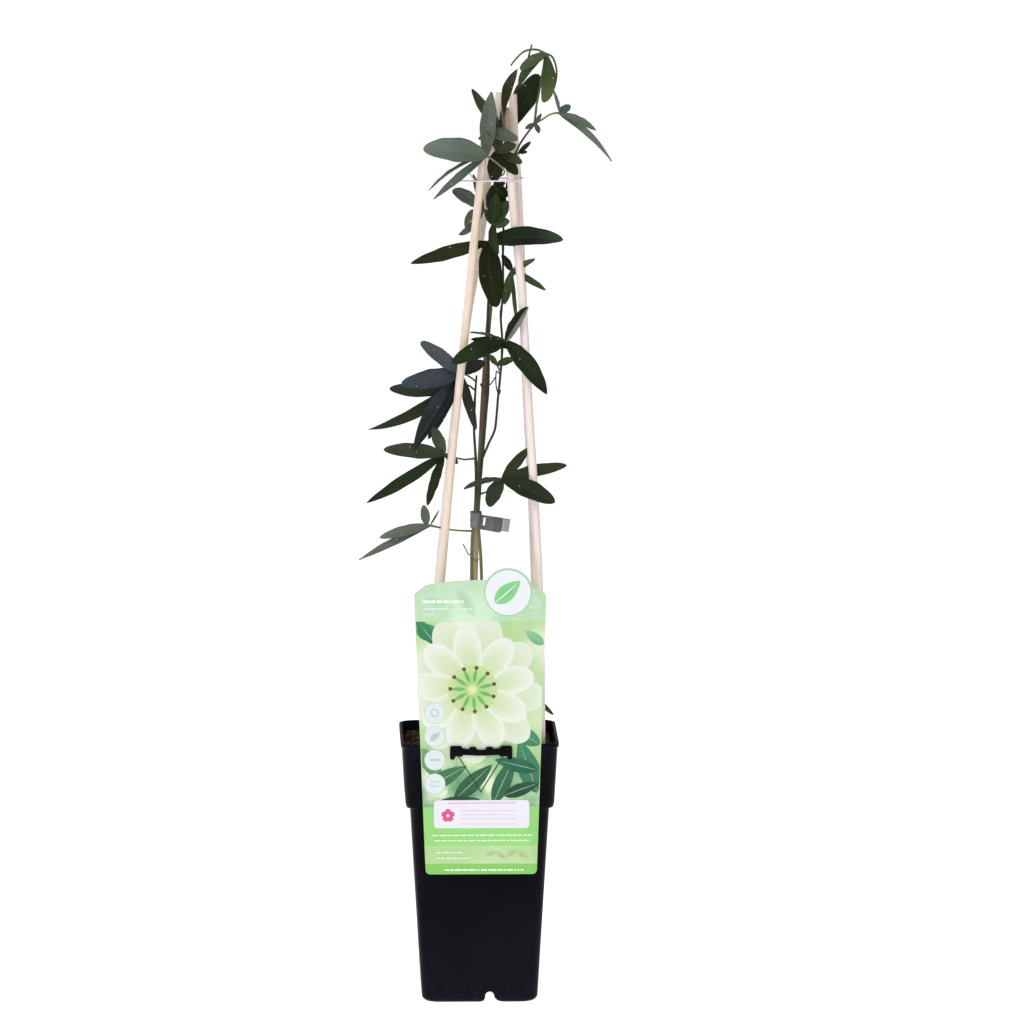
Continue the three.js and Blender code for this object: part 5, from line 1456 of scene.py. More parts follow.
def crumbs(count, size, seed, sink):
    """Many small lumps on the soil: stretched twenty-sided blocks whose corners are shifted."""
    rough = np.random.default_rng(seed)
    at = rough.uniform(-top_half + 3, top_half - 3, (count, 2))
    scale = size * rough.uniform(0.5, 1.0, (count, 1, 1)) ** 1.5
    scale = scale * rough.uniform(0.6, 1.2, (count, 1, 3))
    shape = ICO_POINTS[None] * (1 + rough.uniform(-0.25, 0.25, (count, 12, 1))) * scale
    height = soil_height(at[:, 0], at[:, 1]) + scale[:, 0, 2] * sink
    place = np.column_stack([at, height])[:, None]
    faces = ICO_FACES[None] + 12 * np.arange(count)[:, None, None]
    return {"points": (shape + place).reshape(-1, 3), "quads": np.zeros((0, 4), int),
            "tris": faces.reshape(-1, 3), "values": {}}


HEAPS = ((620, 2.3, 3, 0.3), (260, 1.8, 4, 0.4), (46, 1.2, 5, 0.5))
heap = piece("soil_crumbs", [(crumbs(*sizes), number) for number, sizes in enumerate(HEAPS)],
             [peat, light_peat, grit_stone], sharp=30)
print("crumbs:", sum(sizes[0] for sizes in HEAPS))

# %% [markdown]
# ## The clip
# A grey spring clip holds the stems to the thin cane: a rounded collar, and a flat grip that
# droops a little to the right. The collar could be a box with its middle cut out. Closing a
# run of rings into a loop gives the same wall, with round corners and soft edges at once.

# %% The clip's collar
CLIP_CENTRE, CLIP_HALF, CLIP_CORNER, CLIP_WALL = (-1.9, -0.2), (4.5, 5.8), 2.4, 0.9
CLIP_Z = (366.8, 379)
TAB_START, TAB_END, TAB_FRONT, TAB_THICK = 0.2, 23.4, -6, 1.9
TAB_HEIGHT, TAB_DROOP, TAB_DROP = 11.3, radians(8.5), 0.8
WINDOW_X, WINDOW_Z, THIN_END = (2.5, 4.1), (3.3, 9.6), 5.7


def rounded_ring(x, y, corner, z):
    """A rectangle with round corners about the clip's centre."""
    arc = np.linspace(0, pi / 2, 9)
    c, s = np.cos(arc), np.sin(arc)
    x, y = x - corner, y - corner
    parts = [(x + corner * c, y + corner * s), (-x - corner * s, y + corner * c),
             (-x - corner * c, -y - corner * s), (x + corner * s, -y - corner * c)]
    ring = np.vstack([np.column_stack(part) for part in parts]) + CLIP_CENTRE
    return np.column_stack([ring, np.full(len(ring), z)])


soft, cut = 0.25, 0.075  # the size of the collar's rounded edges
collar = [
    (0, soft), (cut, cut), (soft, 0), (CLIP_WALL - soft, 0), (CLIP_WALL - cut, cut), (CLIP_WALL, soft),
]
profile = [(inset, CLIP_Z[0] + up) for inset, up in collar]
profile += [(inset, CLIP_Z[1] - up) for inset, up in collar[::-1]]
collar_skin = skin([
    rounded_ring(CLIP_HALF[0] - inset, CLIP_HALF[1] - inset, CLIP_CORNER - inset, z)
    for inset, z in profile
], closed=True)
print("collar points:", len(collar_skin["points"]))

# %% [markdown]
# The grip is flat, with a window near the collar and a thinner end. It could be one plate
# with a hole cut out, but a frame of four plates about the window needs no cutting, and each
# keeps its own thickness. They are built level and then tilted together by the droop.

# %% The clip's grip
def tab_plate(outline, thick=TAB_THICK):
    """A flat outline in the grip's own frame, tilted by its droop and set on the collar."""
    surface = plate(outline, TAB_FRONT + thick, thick)
    x, y, z = surface["points"].T
    c, s = cos(TAB_DROOP), sin(TAB_DROOP)
    turned = [x * c + z * s + TAB_START, y, z * c - x * s + CLIP_Z[0] - TAB_DROP]
    return dict(surface, points=np.column_stack(turned))


tab_length = TAB_END - TAB_START
thin_from = tab_length - THIN_END
low_corner = [(WINDOW_X[1], 0), (thin_from - 1.6, -0.5), (thin_from, 0.9), (thin_from, TAB_HEIGHT)]
grip = [
    (tab_plate(oblong((0, WINDOW_X[0]), (0, TAB_HEIGHT))), 0),
    (tab_plate(oblong(WINDOW_X, (0, WINDOW_Z[0]))), 0),
    (tab_plate(oblong(WINDOW_X, (WINDOW_Z[1], TAB_HEIGHT))), 0),
    (tab_plate(low_corner + [(WINDOW_X[1], TAB_HEIGHT)]), 0),
    (tab_plate(oblong((thin_from, tab_length), (1.1, TAB_HEIGHT)), CLIP_WALL), 2),
]
print("plates of the grip:", len(grip))

# %% [markdown]
# The clip is moulded nylon. Its grip is a dull grey, the collar a little bluer and slightly
# see-through, and the thin end is milky, since less plastic lets more light pass. Glass
# shading would be truer but noisy, so the thin parts are only paler and less opaque.

# %% The clip's finish
def clip_material(name, tone, second, third, **settings):
    """Moulded nylon: upright streaks of two tones, with a little mottling."""
    material, add, join = start_material(name, Specular_IOR_Level=0.2, **settings)
    streaks = noise(add, 420, 2, stretch=(1, 1, 0.12))
    clouds = noise(add, 160, 4)
    base = blended(add, spread(add, streaks, 0.38, 0.62), tone, second)
    base = blended(add, spread(add, clouds, 0.45, 0.7, 0, 0.6), base, third)
    join(base, "Base Color")
    join(spread(add, clouds, 0.3, 0.7, 0.4, 0.5), "Roughness")
    bumped(add, join, noise(add, 900, 2), 0.05)
    return material


clip_grey = clip_material("clip_grey", "66676a", "717275", "5b5c5f")
clip_collar = clip_material("clip_collar", "5d6066", "8e9299", "474a50", Alpha=0.86)
clip_clear = clip_material("clip_clear", "a4a6a6", "bcbdbb", "8f9191")
clip = piece("stem_clip_fine", [(collar_skin, 1)] + grip, [clip_grey, clip_collar, clip_clear])
softened(clip, 0.15, 2, 50)
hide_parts("stem_clip")
print("clip faces:", len(clip.data.polygons))

# %% [markdown]
# ## The tie
# A thin white wire goes once round the four thick canes near their tops, and its two ends
# stick out to the left. A flat ring would cut through the canes or hang free of them. So the
# route is found from the canes themselves: a quarter turn about each, where it passes the
# height of the tie, and straight wire in between.

# %% The tie's route
TIE_Z, TIE_RADIUS, TIE_SLACK = 637.6, 0.6, 0.2
TIE_SWAY = 0.5  # the loop rises and sinks by this much


def cane_at(route, z):
    """The middle of a cane where its smooth route passes the height z."""
    line = smooth_route(route, 600)
    return np.array([np.interp(z, line[:, 2], line[:, k]) for k in (0, 1)])


reach = CANE_RADIUS + 0.3 + TIE_RADIUS + TIE_SLACK
loop = []
order = ["cane_front_left", "cane_front_right", "cane_back_right", "cane_back_left"]
for corner, name in enumerate(order):
    turn = -pi + corner * pi / 2 + np.linspace(0, pi / 2, 12)
    middle = cane_at(CANE_ROUTES[name], TIE_Z)
    loop.append(middle + reach * np.column_stack([np.cos(turn), np.sin(turn)]))
loop = np.vstack(loop)
sway = TIE_SWAY * np.sin(full_turn(len(loop)))
loop = np.column_stack([loop, TIE_Z + sway])
print("stations of the loop:", len(loop))

# %% [markdown]
# The wire is a tube again, but closed on itself, so its rings stand on the loop's own
# directions: outwards and upwards. The wire is coated white with a cool, slightly uneven
# cast, for which a mottle of two near whites is enough.

# %% The tie
ahead = unit(np.roll(loop, -1, 0) - np.roll(loop, 1, 0))
out = unit(np.cross(ahead, (0, 0, 1)))
turn = full_turn(12)
rings = (loop[:, None] + TIE_RADIUS * (out[:, None] * np.cos(turn)[None, :, None]
         + np.array([0, 0, 1]) * np.sin(turn)[None, :, None]))
tie_surfaces = [(skin(rings, closed=True), 0)]
TIE_ENDS = (
    [[-2.9, -12, 637.6], [-6, -13, 637.9], [-11, -14.4, 638], [-16.4, -15, 638.4]],
    [[-2.9, -12, 637.6], [-4.6, -13.4, 640], [-6.4, -14.2, 643], [-8, -14.6, 646]],
)
tie_surfaces += [(tube(route, TIE_RADIUS, 10, 40), 0) for route in TIE_ENDS]
wire_white, add, join = start_material("wire_white", Roughness=0.4, Specular_IOR_Level=0.4)
mottle = noise(add, 240, 3)
join(blended(add, spread(add, mottle, 0.35, 0.7), "e9e7ee", "cdc9d6"), "Base Color")
bumped(add, join, mottle, 0.08)
tie = piece("cane_tie_fine", tie_surfaces, [wire_white])
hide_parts("cane_tie")
print("tie faces:", len(tie.data.polygons))

# %% [markdown]
# ## The label
# A big tapering sheet of printed plastic hangs from the anchor, with a round tab at its top
# right. It could be traced point by point. A few arcs and bends that follow its measures are
# shorter and stay smooth: an arc for the round tab, a small bend for each corner.

# %% Label outline
BOTTOM, BOTTOM_HALF, BOTTOM_LEFT, LABEL_CORNER = 104.5, 43.6, 42.2, 4
SHOULDER, SHOULDER_HALF, CROWN = 323.5, 50.9, 334.4
DISC_X, DISC_Z, DISC_RADIUS = 21.4, 324.4, 19.2


def arc(x, z, radius, start, end, count=24):
    """Points along an arc, from one angle to another."""
    turn = np.linspace(start, end, count)
    return np.column_stack([x + radius * np.cos(turn), z + radius * np.sin(turn)])


def bend(start, middle, end, count=10):
    """Points along a curve that leaves start towards middle and arrives at end."""
    s = np.linspace(0, 1, count)[:, None]
    a, b, c = (np.array(p, float) for p in (start, middle, end))
    return (1 - s) ** 2 * a + 2 * s * (1 - s) * b + s**2 * c


def sheet_outline():
    """The label's outline, from its lower left corner round to the right."""
    r, half = LABEL_CORNER, SHOULDER_HALF
    low = asin(4 / DISC_RADIUS)
    high = pi - asin((CROWN - DISC_Z) / DISC_RADIUS)
    return np.vstack([
        [(-BOTTOM_LEFT + r, BOTTOM)],
        bend((BOTTOM_HALF - r, BOTTOM), (BOTTOM_HALF, BOTTOM), (BOTTOM_HALF + 0.2, BOTTOM + r)),
        bend((half, SHOULDER - 4), (half + 0.3, SHOULDER + 1), (half - 5, SHOULDER + 2.4)),
        arc(DISC_X, DISC_Z, DISC_RADIUS, low, high, 60),
        bend((-10.6, CROWN - 0.4), (-30, CROWN - 1.4), (-42, SHOULDER + 7), 14),
        bend((-43, SHOULDER + 6.2), (-45, SHOULDER + 4.6), (-half + 1.6, SHOULDER + 1.4), 5),
        bend((-half + 0.6, SHOULDER + 0.4), (-half, SHOULDER), (-half, SHOULDER - 2), 4),
        bend((-BOTTOM_LEFT - 0.2, BOTTOM + r), (-BOTTOM_LEFT, BOTTOM), (-BOTTOM_LEFT + r, BOTTOM))[:-1],
    ])


print("points of the label's outline:", len(sheet_outline()))

# %% [markdown]
# The print is generic: bands of green, and between them a picture of soft leafy greens,
# paler in its middle and darker towards its foot. It could be a file wrapped round the
# sheet. Bands told apart by height, and clouds of noise for the blurred leaves, need none.

# %% Label finish
PICTURE_FOOT, PICTURE_TOP = 157.4, 302.3
PALE_FOOT, PALE_TOP = 112.8, 126.9  # the pale band, between two bright green ones
BLUR = 0.2  # half the width of a band's soft border


def label_material():
    """Satin printed sheet: bands by height, and a picture of soft greens, paler in its middle
    and darker towards its foot."""
    material, add, join = start_material("label_print_sheet", Specular_IOR_Level=0.3)
    z = height_of(add)

    def band(base, low, high, tone):
        above = spread(add, z, (low - BLUR) * MM, (low + BLUR) * MM)
        below = spread(add, z, (high - BLUR) * MM, (high + BLUR) * MM, 1, 0)
        return blended(add, times(add, above, below), base, tone)

    clouds = noise(add, 34, 5)
    big = noise(add, 17, 2)
    picture = blended(add, spread(add, big, 0.38, 0.6), "dfecce", "b4d696")
    foot = spread(add, z, 0.165, 0.222, 1, 0)
    dark = times(add, foot, spread(add, clouds, 0.34, 0.56))
    picture = blended(add, dark, picture, "7fae84")
    darker = times(add, foot, spread(add, clouds, 0.52, 0.68, 0, 0.75))
    picture = blended(add, darker, picture, "2f7455")
    haze = blended(add, spread(add, big, 0.4, 0.6), "d2ebd1", "bcdcb9")
    pale = blended(add, spread(add, big, 0.4, 0.62), "bcdaa6", "aed192")
    base = band(picture, PICTURE_TOP, DISC_Z + DISC_RADIUS + 1, haze)
    base = band(base, PALE_TOP, PICTURE_FOOT, "93d279")
    base = band(base, PALE_FOOT, PALE_TOP, pale)
    base = band(base, BOTTOM - 4.5, PALE_FOOT, "82c45e")
    join(base, "Base Color")
    bumped(add, join, noise(add, 500, 2), 0.02)
    join(spread(add, clouds, 0.3, 0.7, 0.34, 0.42), "Roughness")
    return material


label_skin = label_material()
print("print nodes:", len(label_skin.node_tree.nodes))

# %% [markdown]
# The sheet has a slot for the anchor and a V-shaped cut below it, which makes a tongue that
# can bend. Both could belong to the outline, but the slot is a hole inside it. So the plain
# sheet is made first and the two shapes are cut out of it.

# %% Label sheet
label = piece("label_sheet", [(plate(sheet_outline(), LABEL_BACK, LABEL_THICK), 0)], [label_skin])
VEE_TOP, VEE_HALF, VEE_TIP, VEE_X, VEE_WIDTH = 196.6, 16.6, 169.8, 0.4, 0.9
SLOT_X, SLOT_Z = (-9, 10.4), (198.4, 203)
outside, low_tip = VEE_HALF + VEE_WIDTH, VEE_TIP - 1.7 * VEE_WIDTH
vee = [(-VEE_HALF, VEE_TOP), (0, VEE_TIP), (VEE_HALF, VEE_TOP)]
vee += [(outside, VEE_TOP), (0, low_tip), (-outside, VEE_TOP)]
vee = [(VEE_X + x, z) for x, z in vee]
for name, outline in (("slot_cut", oblong(SLOT_X, SLOT_Z)), ("vee_cut", vee)):
    cutter = piece(name, [(plate(outline, LABEL_BACK + 2, 6), 0)], [label_skin])
    boolean(label, cutter, "DIFFERENCE")
softened(label, 0.12, 2, 60)
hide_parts("hang_label")
print("label faces:", len(label.data.polygons))

# %% [markdown]
# ## The print
# Leaves, a flower and discs are printed over the bands. In a material each would need its
# own sum of nodes. As thin flat patches of ink they are plain outlines, each a few
# thousandths of a millimetre proud of the last, so that none meets another in its own plane.
# A patch is a fan of rings, whose colour may change from middle to outline.

# %% Ink
INK = []
FRONT = LABEL_BACK - LABEL_THICK
INK_STEP = 0.0035
INK_ROOT = 0.05  # a patch starts this far inside the sheet


def patch(outline, middle, edge=None, centre=None, rings=2, shade=0.0):
    """A patch of ink over all earlier ones. outline lists points in X and Z, and the colour
    goes from middle to edge. shade darkens it towards its foot."""
    outline = np.array(outline, float)
    centre = outline.mean(0) if centre is None else np.array(centre, float)
    edge = edge or middle
    front = FRONT - INK_STEP * (len(INK) + 2)
    layers = [in_plane(outline, FRONT + INK_ROOT)]
    tones = [np.tile(colour(edge), (len(outline), 1))]
    for part in np.linspace(1, 0.05, rings):
        flat = centre + (outline - centre) * part
        layers.append(in_plane(flat, front))
        mixed = np.array(colour(middle)) * (1 - part**1.5) + np.array(colour(edge)) * part**1.5
        fall = (outline[:, 1].max() - flat[:, 1]) / max(np.ptp(outline[:, 1]), 1e-6)
        mixed = mixed[None, :3] * (1 - shade * fall[:, None])
        tones.append(np.column_stack([mixed, np.ones(len(flat))]))
    return skin(layers, ink=np.array(tones))


def lay(*patches):
    """Puts down patches that don't touch each other, as one step of the print."""
    INK.append(patches)


print("front of the bare sheet at y =", round(FRONT, 2), "mm")

# %% [markdown]
# Few outlines serve the whole print: a box with round corners, a circle, a pointed leaf and a
# round-ended petal. Each could be drawn freehand, but a formula can be stretched and turned
# without a kink.

# %% Outlines
WIDEST = 0.66  # where a petal is widest


def rounded_box(x, z, radius, count=8):
    """The outline of a rectangle with round corners."""
    (x0, x1), (z0, z1) = x, z
    return np.vstack([
        arc(x1 - radius, z1 - radius, radius, 0, pi / 2, count),
        arc(x0 + radius, z1 - radius, radius, pi / 2, pi, count),
        arc(x0 + radius, z0 + radius, radius, pi, 1.5 * pi, count),
        arc(x1 - radius, z0 + radius, radius, 1.5 * pi, 2 * pi, count),
    ])


def disc(x, z, radius, count=41):
    """The outline of a circle."""
    return arc(x, z, radius, 0, 2 * pi, count)[:-1]


def turned(shape, x, z, angle):
    """An outline turned about its own start and moved there."""
    c, q = cos(angle), sin(angle)
    return (x, z) + shape @ [[c, q], [-q, c]]


def leaf_outline(x, z, angle, length, width):
    """A pointed leaf from its foot at (x, z) out along the angle: half the width is
    sin(pi * s ** 0.8) to the power 0.8."""
    s = np.linspace(0, 1, 22)
    half = width / 2 * np.clip(np.sin(pi * s**0.8), 0, None) ** 0.8
    one_side, other = (np.column_stack([s * length, way * half]) for way in (1, -1))
    return turned(np.vstack([one_side, other[-2:0:-1]]), x, z, angle)


def petal_outline(x, z, angle, length, width):
    """A petal: narrow at its foot, widest at two thirds, with a round end."""
    s = np.sin(np.linspace(0, pi / 2, 26))
    half = width / 2 * (0.3 + 0.7 * np.sin(pi / 2 * np.clip(s / WIDEST, 0, 1)))
    half = half * np.sqrt(np.clip(1 - ((s - WIDEST) / (1 - WIDEST)).clip(0, 1) ** 2, 0.0, 1))
    one_side, other = (np.column_stack([s * length, way * half]) for way in (1, -1))
    return turned(np.vstack([one_side, other[-2::-1]]), x, z, angle)


def out_from(x, z, angle, way):
    """The point at a distance from (x, z) in the direction of an angle."""
    return x + way * cos(angle), z + way * sin(angle)


print("points of a leaf:", len(leaf_outline(0, 0, 0, 9, 3)))

# %% [markdown]
# Some printed leaves reach over the picture's border. A mask could hide the rest of them, but
# it is enough to push every point that lies outside back to the border.

# %% Inside the picture
SIDE_ROOM, BAND_ROOM = 0.6, 0.2  # bare strips at the sheet's sides and the bands


def inside(outline):
    """The outline kept within the sheet's sides and the picture's bands."""
    outline = np.array(outline, float)
    rise = (outline[:, 1] - BOTTOM) / (SHOULDER - BOTTOM)
    left, right = (low + (SHOULDER_HALF - low) * rise for low in (BOTTOM_LEFT, BOTTOM_HALF))
    outline[:, 0] = np.clip(outline[:, 0], SIDE_ROOM - left, right - SIDE_ROOM)
    outline[:, 1] = np.clip(outline[:, 1], PICTURE_FOOT + BAND_ROOM, PICTURE_TOP - BAND_ROOM)
    return outline


print("a far point is pushed back to:", inside([(99.0, 999.0)]).round(1).tolist())

# %% [markdown]
# The flower is a plain open one, as a child would draw it: two rounds of petals, a green
# heart, and stamens with dark ends. It could be traced from a real bloom, but a generic one
# is wanted. Each petal is palest at its edge and has three fine lines from its foot.

# %% A flower
PETAL_ROUNDS = ((1.0, 0.5, "dfe7d6"), (0.84, 0.0, "eaece5"))
STAMENS = 11


def flower(x, z, size, petals, turn):
    """A plain open flower: two rounds of petals, a heart, and stamens with dark ends."""
    rough = np.random.default_rng(petals)
    for scale, offset, edge in PETAL_ROUNDS:
        for k in range(petals):
            angle = turn + 2 * pi * (k + offset) / petals + rough.uniform(-0.05, 0.05)
            length, width = size * scale * rough.uniform(0.96, 1.03), 4.1 * size * scale / petals
            foot = out_from(x, z, angle, 0.16 * length)
            outline = inside(petal_outline(x, z, angle, length, width))
            lay(patch(outline, "c3d99c", edge, centre=foot, rings=7))
            lines = [leaf_outline(*foot, angle + slant, 0.66 * length, 0.5) for slant in (-0.1, 0, 0.1)]
            lay(*[patch(line, "d9e2cd") for line in lines if np.allclose(line, inside(line))])
    lay(patch(disc(x, z, size * 0.34), "a9d07c", "c6dc9c", rings=6))
    spokes = turn + 2 * pi * np.arange(STAMENS) / STAMENS
    stalks = [leaf_outline(*out_from(x, z, a, 0.1 * size), a, 0.2 * size, 0.05 * size) for a in spokes]
    tips = [disc(*out_from(x, z, a, 0.3 * size), size * 0.028, 13) for a in spokes]
    lay(*[patch(outline, "6fb46a") for outline in stalks])
    lay(*[patch(outline, "6b4a3e") for outline in tips])
    lay(patch(disc(x, z, size * 0.1, 25), "e4edb4", "9cc86e", rings=4))


print("petals and stamens to print:", 9 * len(PETAL_ROUNDS), STAMENS)

# %% [markdown]
# Behind the flower lie blurred leaves, some over the picture's border and some in the haze at
# the top. They could be placed at random, but a few placed one by one fill the corners better.
# Each leaf is a little darker towards its foot and has one light midrib. Two thin dark lines
# follow the V-shaped cut, as its shadow.

# %% Picture
PICTURE_LEAVES = (
    # foot in X and Z, angle, length, width, colour
    (-50, 296, -0.25, 24, 13, "3f9a6c"), (-49, 303, -0.9, 26, 10, "2f8a5d"),
    (49, 284, 2.5, 18, 8, "8cc79a"), (-46, 203, -1.0, 30, 13, "6aa56c"),
    (-42, 172, 0.5, 36, 12, "3f7a52"), (-20, 163, 0.75, 40, 13, "2f6443"),
    (10, 160, 1.15, 40, 13, "2f6c49"), (44, 168, 1.9, 44, 17, "3c8560"),
    (46, 206, 2.6, 30, 13, "4a9470"), (18, 166, 0.35, 30, 10, "1c4f39"),
    (-34, 160, 0.1, 34, 8, "1b4a36"), (44, 186, 2.9, 34, 11, "256a4e"),
)
HAZE_LEAVES = (
    (-47, 322, -0.35, 26, 12, "b2d6b4"), (-20, 331, -1.0, 30, 11, "aed3b0"),
    (47, 312, 2.5, 24, 10, "b6d9b6"), (-34, 330, -0.9, 20, 9, "bfdfbe"),
)
SHADOW, MIDRIB_WIDTH = "24352a", 0.5
for *place, length, width, tone in PICTURE_LEAVES:
    lay(patch(inside(leaf_outline(*place, length, width)), tone, shade=0.3))
    lay(patch(inside(leaf_outline(*place, 0.96 * length, MIDRIB_WIDTH)), "9cc7a0"))
for *place, length, width, tone in HAZE_LEAVES:
    lay(patch(leaf_outline(*place, length, width), tone, "c6e3c4", rings=4))
for side in (-1, 1):
    (top_x, top_z), (foot_x, foot_z) = (VEE_X + side * (VEE_HALF + 0.4), VEE_TOP), (VEE_X, VEE_TIP - 0.8)
    lay(patch([(top_x - 0.45, top_z), (foot_x - 0.45, foot_z), (foot_x + 0.45, foot_z),
               (top_x + 0.45, top_z)], SHADOW))
flower(-6, 249, 57, 9, 0.25)
print("steps of print so far:", len(INK))

# %% [markdown]
# Where a real label has words, this one has rows of small bars of uneven length, so that it
# looks printed from afar and says nothing close up. Letters could be made from text objects,
# but the part is generic. The gaps and lengths are random, with a fixed seed each.

# %% Rows of bars
def dashes(z, height, start, end, seed, tone):
    """A row of small bars of uneven length, with gaps between them."""
    rough = np.random.default_rng(seed)
    bars, x = [], start
    while x < end - 1:
        width = min(rough.uniform(1.2, 5.5), end - x)
        bars.append(patch(rounded_box((x, x + width), (z - height / 2, z + height / 2), 0.25, 3), tone))
        x += width + rough.uniform(0.5, 1.0)
    lay(*bars)


print("a row's bars are 1.2 to 5.5 mm long")

# %% [markdown]
# Four bare discs stand down the left side, each with one simple mark: a ring, a leaf, a bar
# and two lines. Signs of this kind could be drawn in detail, but plain ones can't be taken
# for anyone's. A pale panel, a round tab with a leaf and a few rows of bars fill the rest.

# %% Discs and panel
SPOT_X, SPOT_Z = -35.1, (230.9, 212.4, 194.2, 175.4)
PLAIN, MARK = "dde5e6", "b9c9c2"
BLOOM_X, BLOOM_Z = -25, 150.6  # a small five-petalled bloom on the panel


def stroke(x, end, z, thick, radius, count=8):
    """A bar with round corners between two places along X, with its middle at height z."""
    return rounded_box((x, end), (z - thick / 2, z + thick / 2), radius, count)


for z in SPOT_Z:
    lay(patch(disc(SPOT_X, z, 8.2), "b7cfba"))
    lay(patch(disc(SPOT_X, z, 7.8), PLAIN))
lay(patch(disc(SPOT_X, SPOT_Z[0], 3.2), MARK),
    patch(leaf_outline(SPOT_X - 3.6, SPOT_Z[1] - 3.1, 0.7, 10, 4.4), MARK),
    patch(stroke(SPOT_X - 4.2, SPOT_X + 4.2, SPOT_Z[2], 1.8, 0.8), MARK),
    patch(stroke(SPOT_X - 3.2, SPOT_X + 3.2, SPOT_Z[3] - 1.75, 0.9, 0.4), MARK),
    patch(stroke(SPOT_X - 3.2, SPOT_X + 3.2, SPOT_Z[3] + 1.75, 0.9, 0.4), MARK))
lay(patch(disc(SPOT_X, SPOT_Z[0], 2.3), PLAIN))
lay(patch(rounded_box((-35.9, 37.9), (140.7, 162.6), 3), "e8e4f1"))
lay(patch(stroke(-25, 28, 160.35, 0.7, 0.3, 3), "dba0bb"))
for k in range(5):
    angle = pi / 2 + 2 * pi * k / 5
    lay(patch(petal_outline(BLOOM_X, BLOOM_Z, angle, 5.2, 4.4), "d8568c"))
lay(patch(disc(BLOOM_X, BLOOM_Z, 1.2, 17), "f3e6ef"))
for z, end in ((154.4, 28), (151.2, 24), (148.2, 29)):
    lay(patch(stroke(-15, end, z, 0.7, 0.3, 3), "d3cfdc"))
print("steps of print so far:", len(INK))

# %% Rows and the round tab
LOW_ROWS = (
    # height, thickness, start and end along X, seed, colour
    (143.9, 0.8, -14, 29, 3, "eac3d8"), (135.2, 1.1, -37.4, 41.6, 4, "dff6d3"),
    (131.0, 1.1, -35.4, 38.6, 5, "dff6d3"), (108.0, 1.3, -27.6, 33.4, 6, "f0fae6"),
    (121.8, 1.1, -34, -13, 7, "e3f4da"), (117.2, 1.1, -34, -8, 8, "e3f4da"),
)
HIGH_ROWS = (
    (317.6, 2.2, -44, -13, 9, "f4faf2"), (311.8, 1.2, -44, -6, 10, "e6f3e4"),
    (307.8, 1.2, -44, -34, 11, "e6f3e4"),
)
for row in LOW_ROWS:
    dashes(*row)
for x, z, angle in ((4, 119, 0.35), (12, 121, -0.5), (20, 118.6, 0.4), (28, 121, -0.45)):
    lay(patch(leaf_outline(x, z, angle, 10, 3.4), "9fb67c", "c3d3a2", rings=4))
lay(patch(disc(DISC_X, DISC_Z, 18.3, 65), "a5d3a8"))
lay(patch(disc(DISC_X, DISC_Z, 17.4, 65), "eaedf1"))
lay(patch(leaf_outline(DISC_X - 10, DISC_Z - 8, 0.72, 26, 13), "7cc884", "8dd393", rings=3))
lay(patch(leaf_outline(DISC_X - 10, DISC_Z - 8, 0.72, 24, 0.9), "f0f6f0"))
for row in HIGH_ROWS:
    dashes(*row)
print("steps of print in all:", len(INK))

# %% [markdown]
# All patches share one satin ink. Dozens of materials, one for each colour, would do the
# same. Here the colour of every point is stored in the mesh, and the ink only reads it and
# adds a faint mottle, so that nothing printed is perfectly even.

# %% The printed ink
ink_material, add, join = start_material("label_ink", Roughness=0.38, Specular_IOR_Level=0.3)
ink_tone = add("Attribute", attribute_name="ink").outputs["Color"]
dots = noise(add, 260, 4)
join(blended(add, spread(add, dots, 0.4, 0.75, 0, 0.05), ink_tone, "8fae92"), "Base Color")
bumped(add, join, dots, 0.01)
surfaces = [(surface, 0) for patches in INK for surface in patches]
ink = piece("label_print", surfaces, [ink_material], sharp=30, colour_values=("ink",))
print("ink patches:", len(surfaces), "in", len(INK), "steps")

# %% [markdown]
# ## Floor and light
# The plant stands on a plain white floor that has no edge in sight. A white sheet in even
# light still turns grey where the pot keeps the light off. So the floor glows a little, most
# near the pot, and its colour has a cloud too faint to see.

# %% Floor
FLOOR_SIZE = 26000  # far past the edge of the view, in millimetres


def floor_material():
    """Plain white. It glows a little, most under the pot and within half a metre of it, so
    that the pot's own shadow doesn't grey it."""
    material, add, join = start_material("floor_white", Roughness=0.9, Specular_IOR_Level=0.1)
    clouds = noise(add, 3, 2)
    join(blended(add, clouds, "f4f4f4", "f7f7f7"), "Base Color")
    place = add("TexCoord").outputs["Object"]
    away = add("VectorMath", {0: place}, operation="LENGTH").outputs["Value"]
    under = spread(add, away, 0.04, 0.09, 0.15, 0)
    join(worked(add, "ADD", under, spread(add, away, 0.3, 0.7, 0.85, 0.56)), "Emission Strength")
    material.node_tree.nodes["Principled BSDF"].inputs["Emission Color"].default_value = (1, 1, 1, 1)
    return material


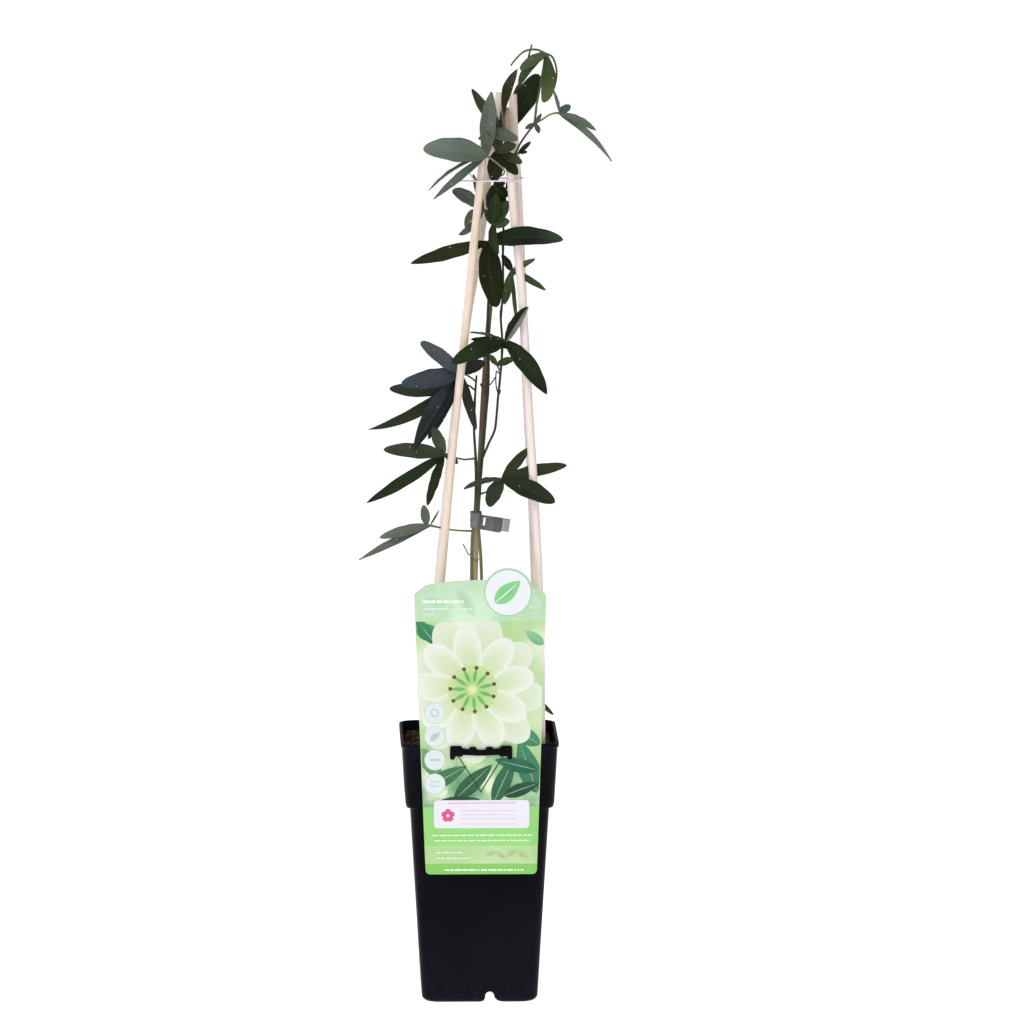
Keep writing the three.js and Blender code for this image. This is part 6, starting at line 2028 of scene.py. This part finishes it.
turn = full_turn(96)
rings = [np.column_stack([r * np.cos(turn), r * np.sin(turn), np.full(96, z)])
         for r, z in ((FLOOR_SIZE, -20), (FLOOR_SIZE, 0), (2000, 0), (600, 0), (200, 0), (20, 0))]
floor = piece("floor", [(skin(rings), 0)], [floor_material()], sharp=30)
floor.parent = None

# %% [markdown]
# A plant is dark against white, so hard light would leave black holes among its leaves. Soft
# boxes are broad lights whose shadows have no edge: one from the front left, a weaker one
# from the right, and two long ones behind that draw the edges of the leaves. A very wide sun
# from above and a little light from all round fill the rest.

# %% Lights
def sun(name, direction, strength, angle):
    """Even light from far off, that travels along the direction."""
    light = bpy.data.objects.new(name, bpy.data.lights.new(name, "SUN"))
    light.data.energy, light.data.angle = strength, radians(angle)
    aim(light, direction)


def softbox(name, place, target, size, power):
    """A rectangular light that looks at a target."""
    light = bpy.data.objects.new(name, bpy.data.lights.new(name, "AREA"))
    light.data.shape, light.data.size, light.data.size_y = "RECTANGLE", *size
    light.data.energy = power
    light.location = place
    aim(light, np.array(target, float) - np.array(place, float))
    light.visible_camera = False


def aim(light, direction):
    """Turns a light so that it shines along a direction, and puts it into the scene."""
    x, y, z = unit(direction)
    light.rotation_euler = (acos(-z), 0, atan2(y, x) - pi / 2)
    bpy.context.scene.collection.objects.link(light)


softbox("key", (-1.5, -2.2, 1.9), (0, 0, 0.4), (1.6, 1.6), 19)
softbox("fill", (2.2, -1.9, 1.0), (0, 0, 0.4), (1.4, 1.8), 7)
softbox("back_left", (-1.6, 1.5, 0.9), (0, 0, 0.4), (0.7, 1.8), 8)
softbox("back_right", (1.7, 1.4, 1.0), (0, 0, 0.4), (0.7, 1.8), 6)
sun("sky_key", (0.35, 0.55, -1.0), 0.6, 40)

world = bpy.data.worlds.new("studio")
bpy.context.scene.world = world
world.use_nodes = True
world.node_tree.nodes["Background"].inputs[0].default_value = (1, 1, 1, 1)
world.node_tree.nodes["Background"].inputs[1].default_value = 0.36
bpy.context.scene.view_settings.view_transform = "Standard"
print("lights:", len(bpy.data.lights))
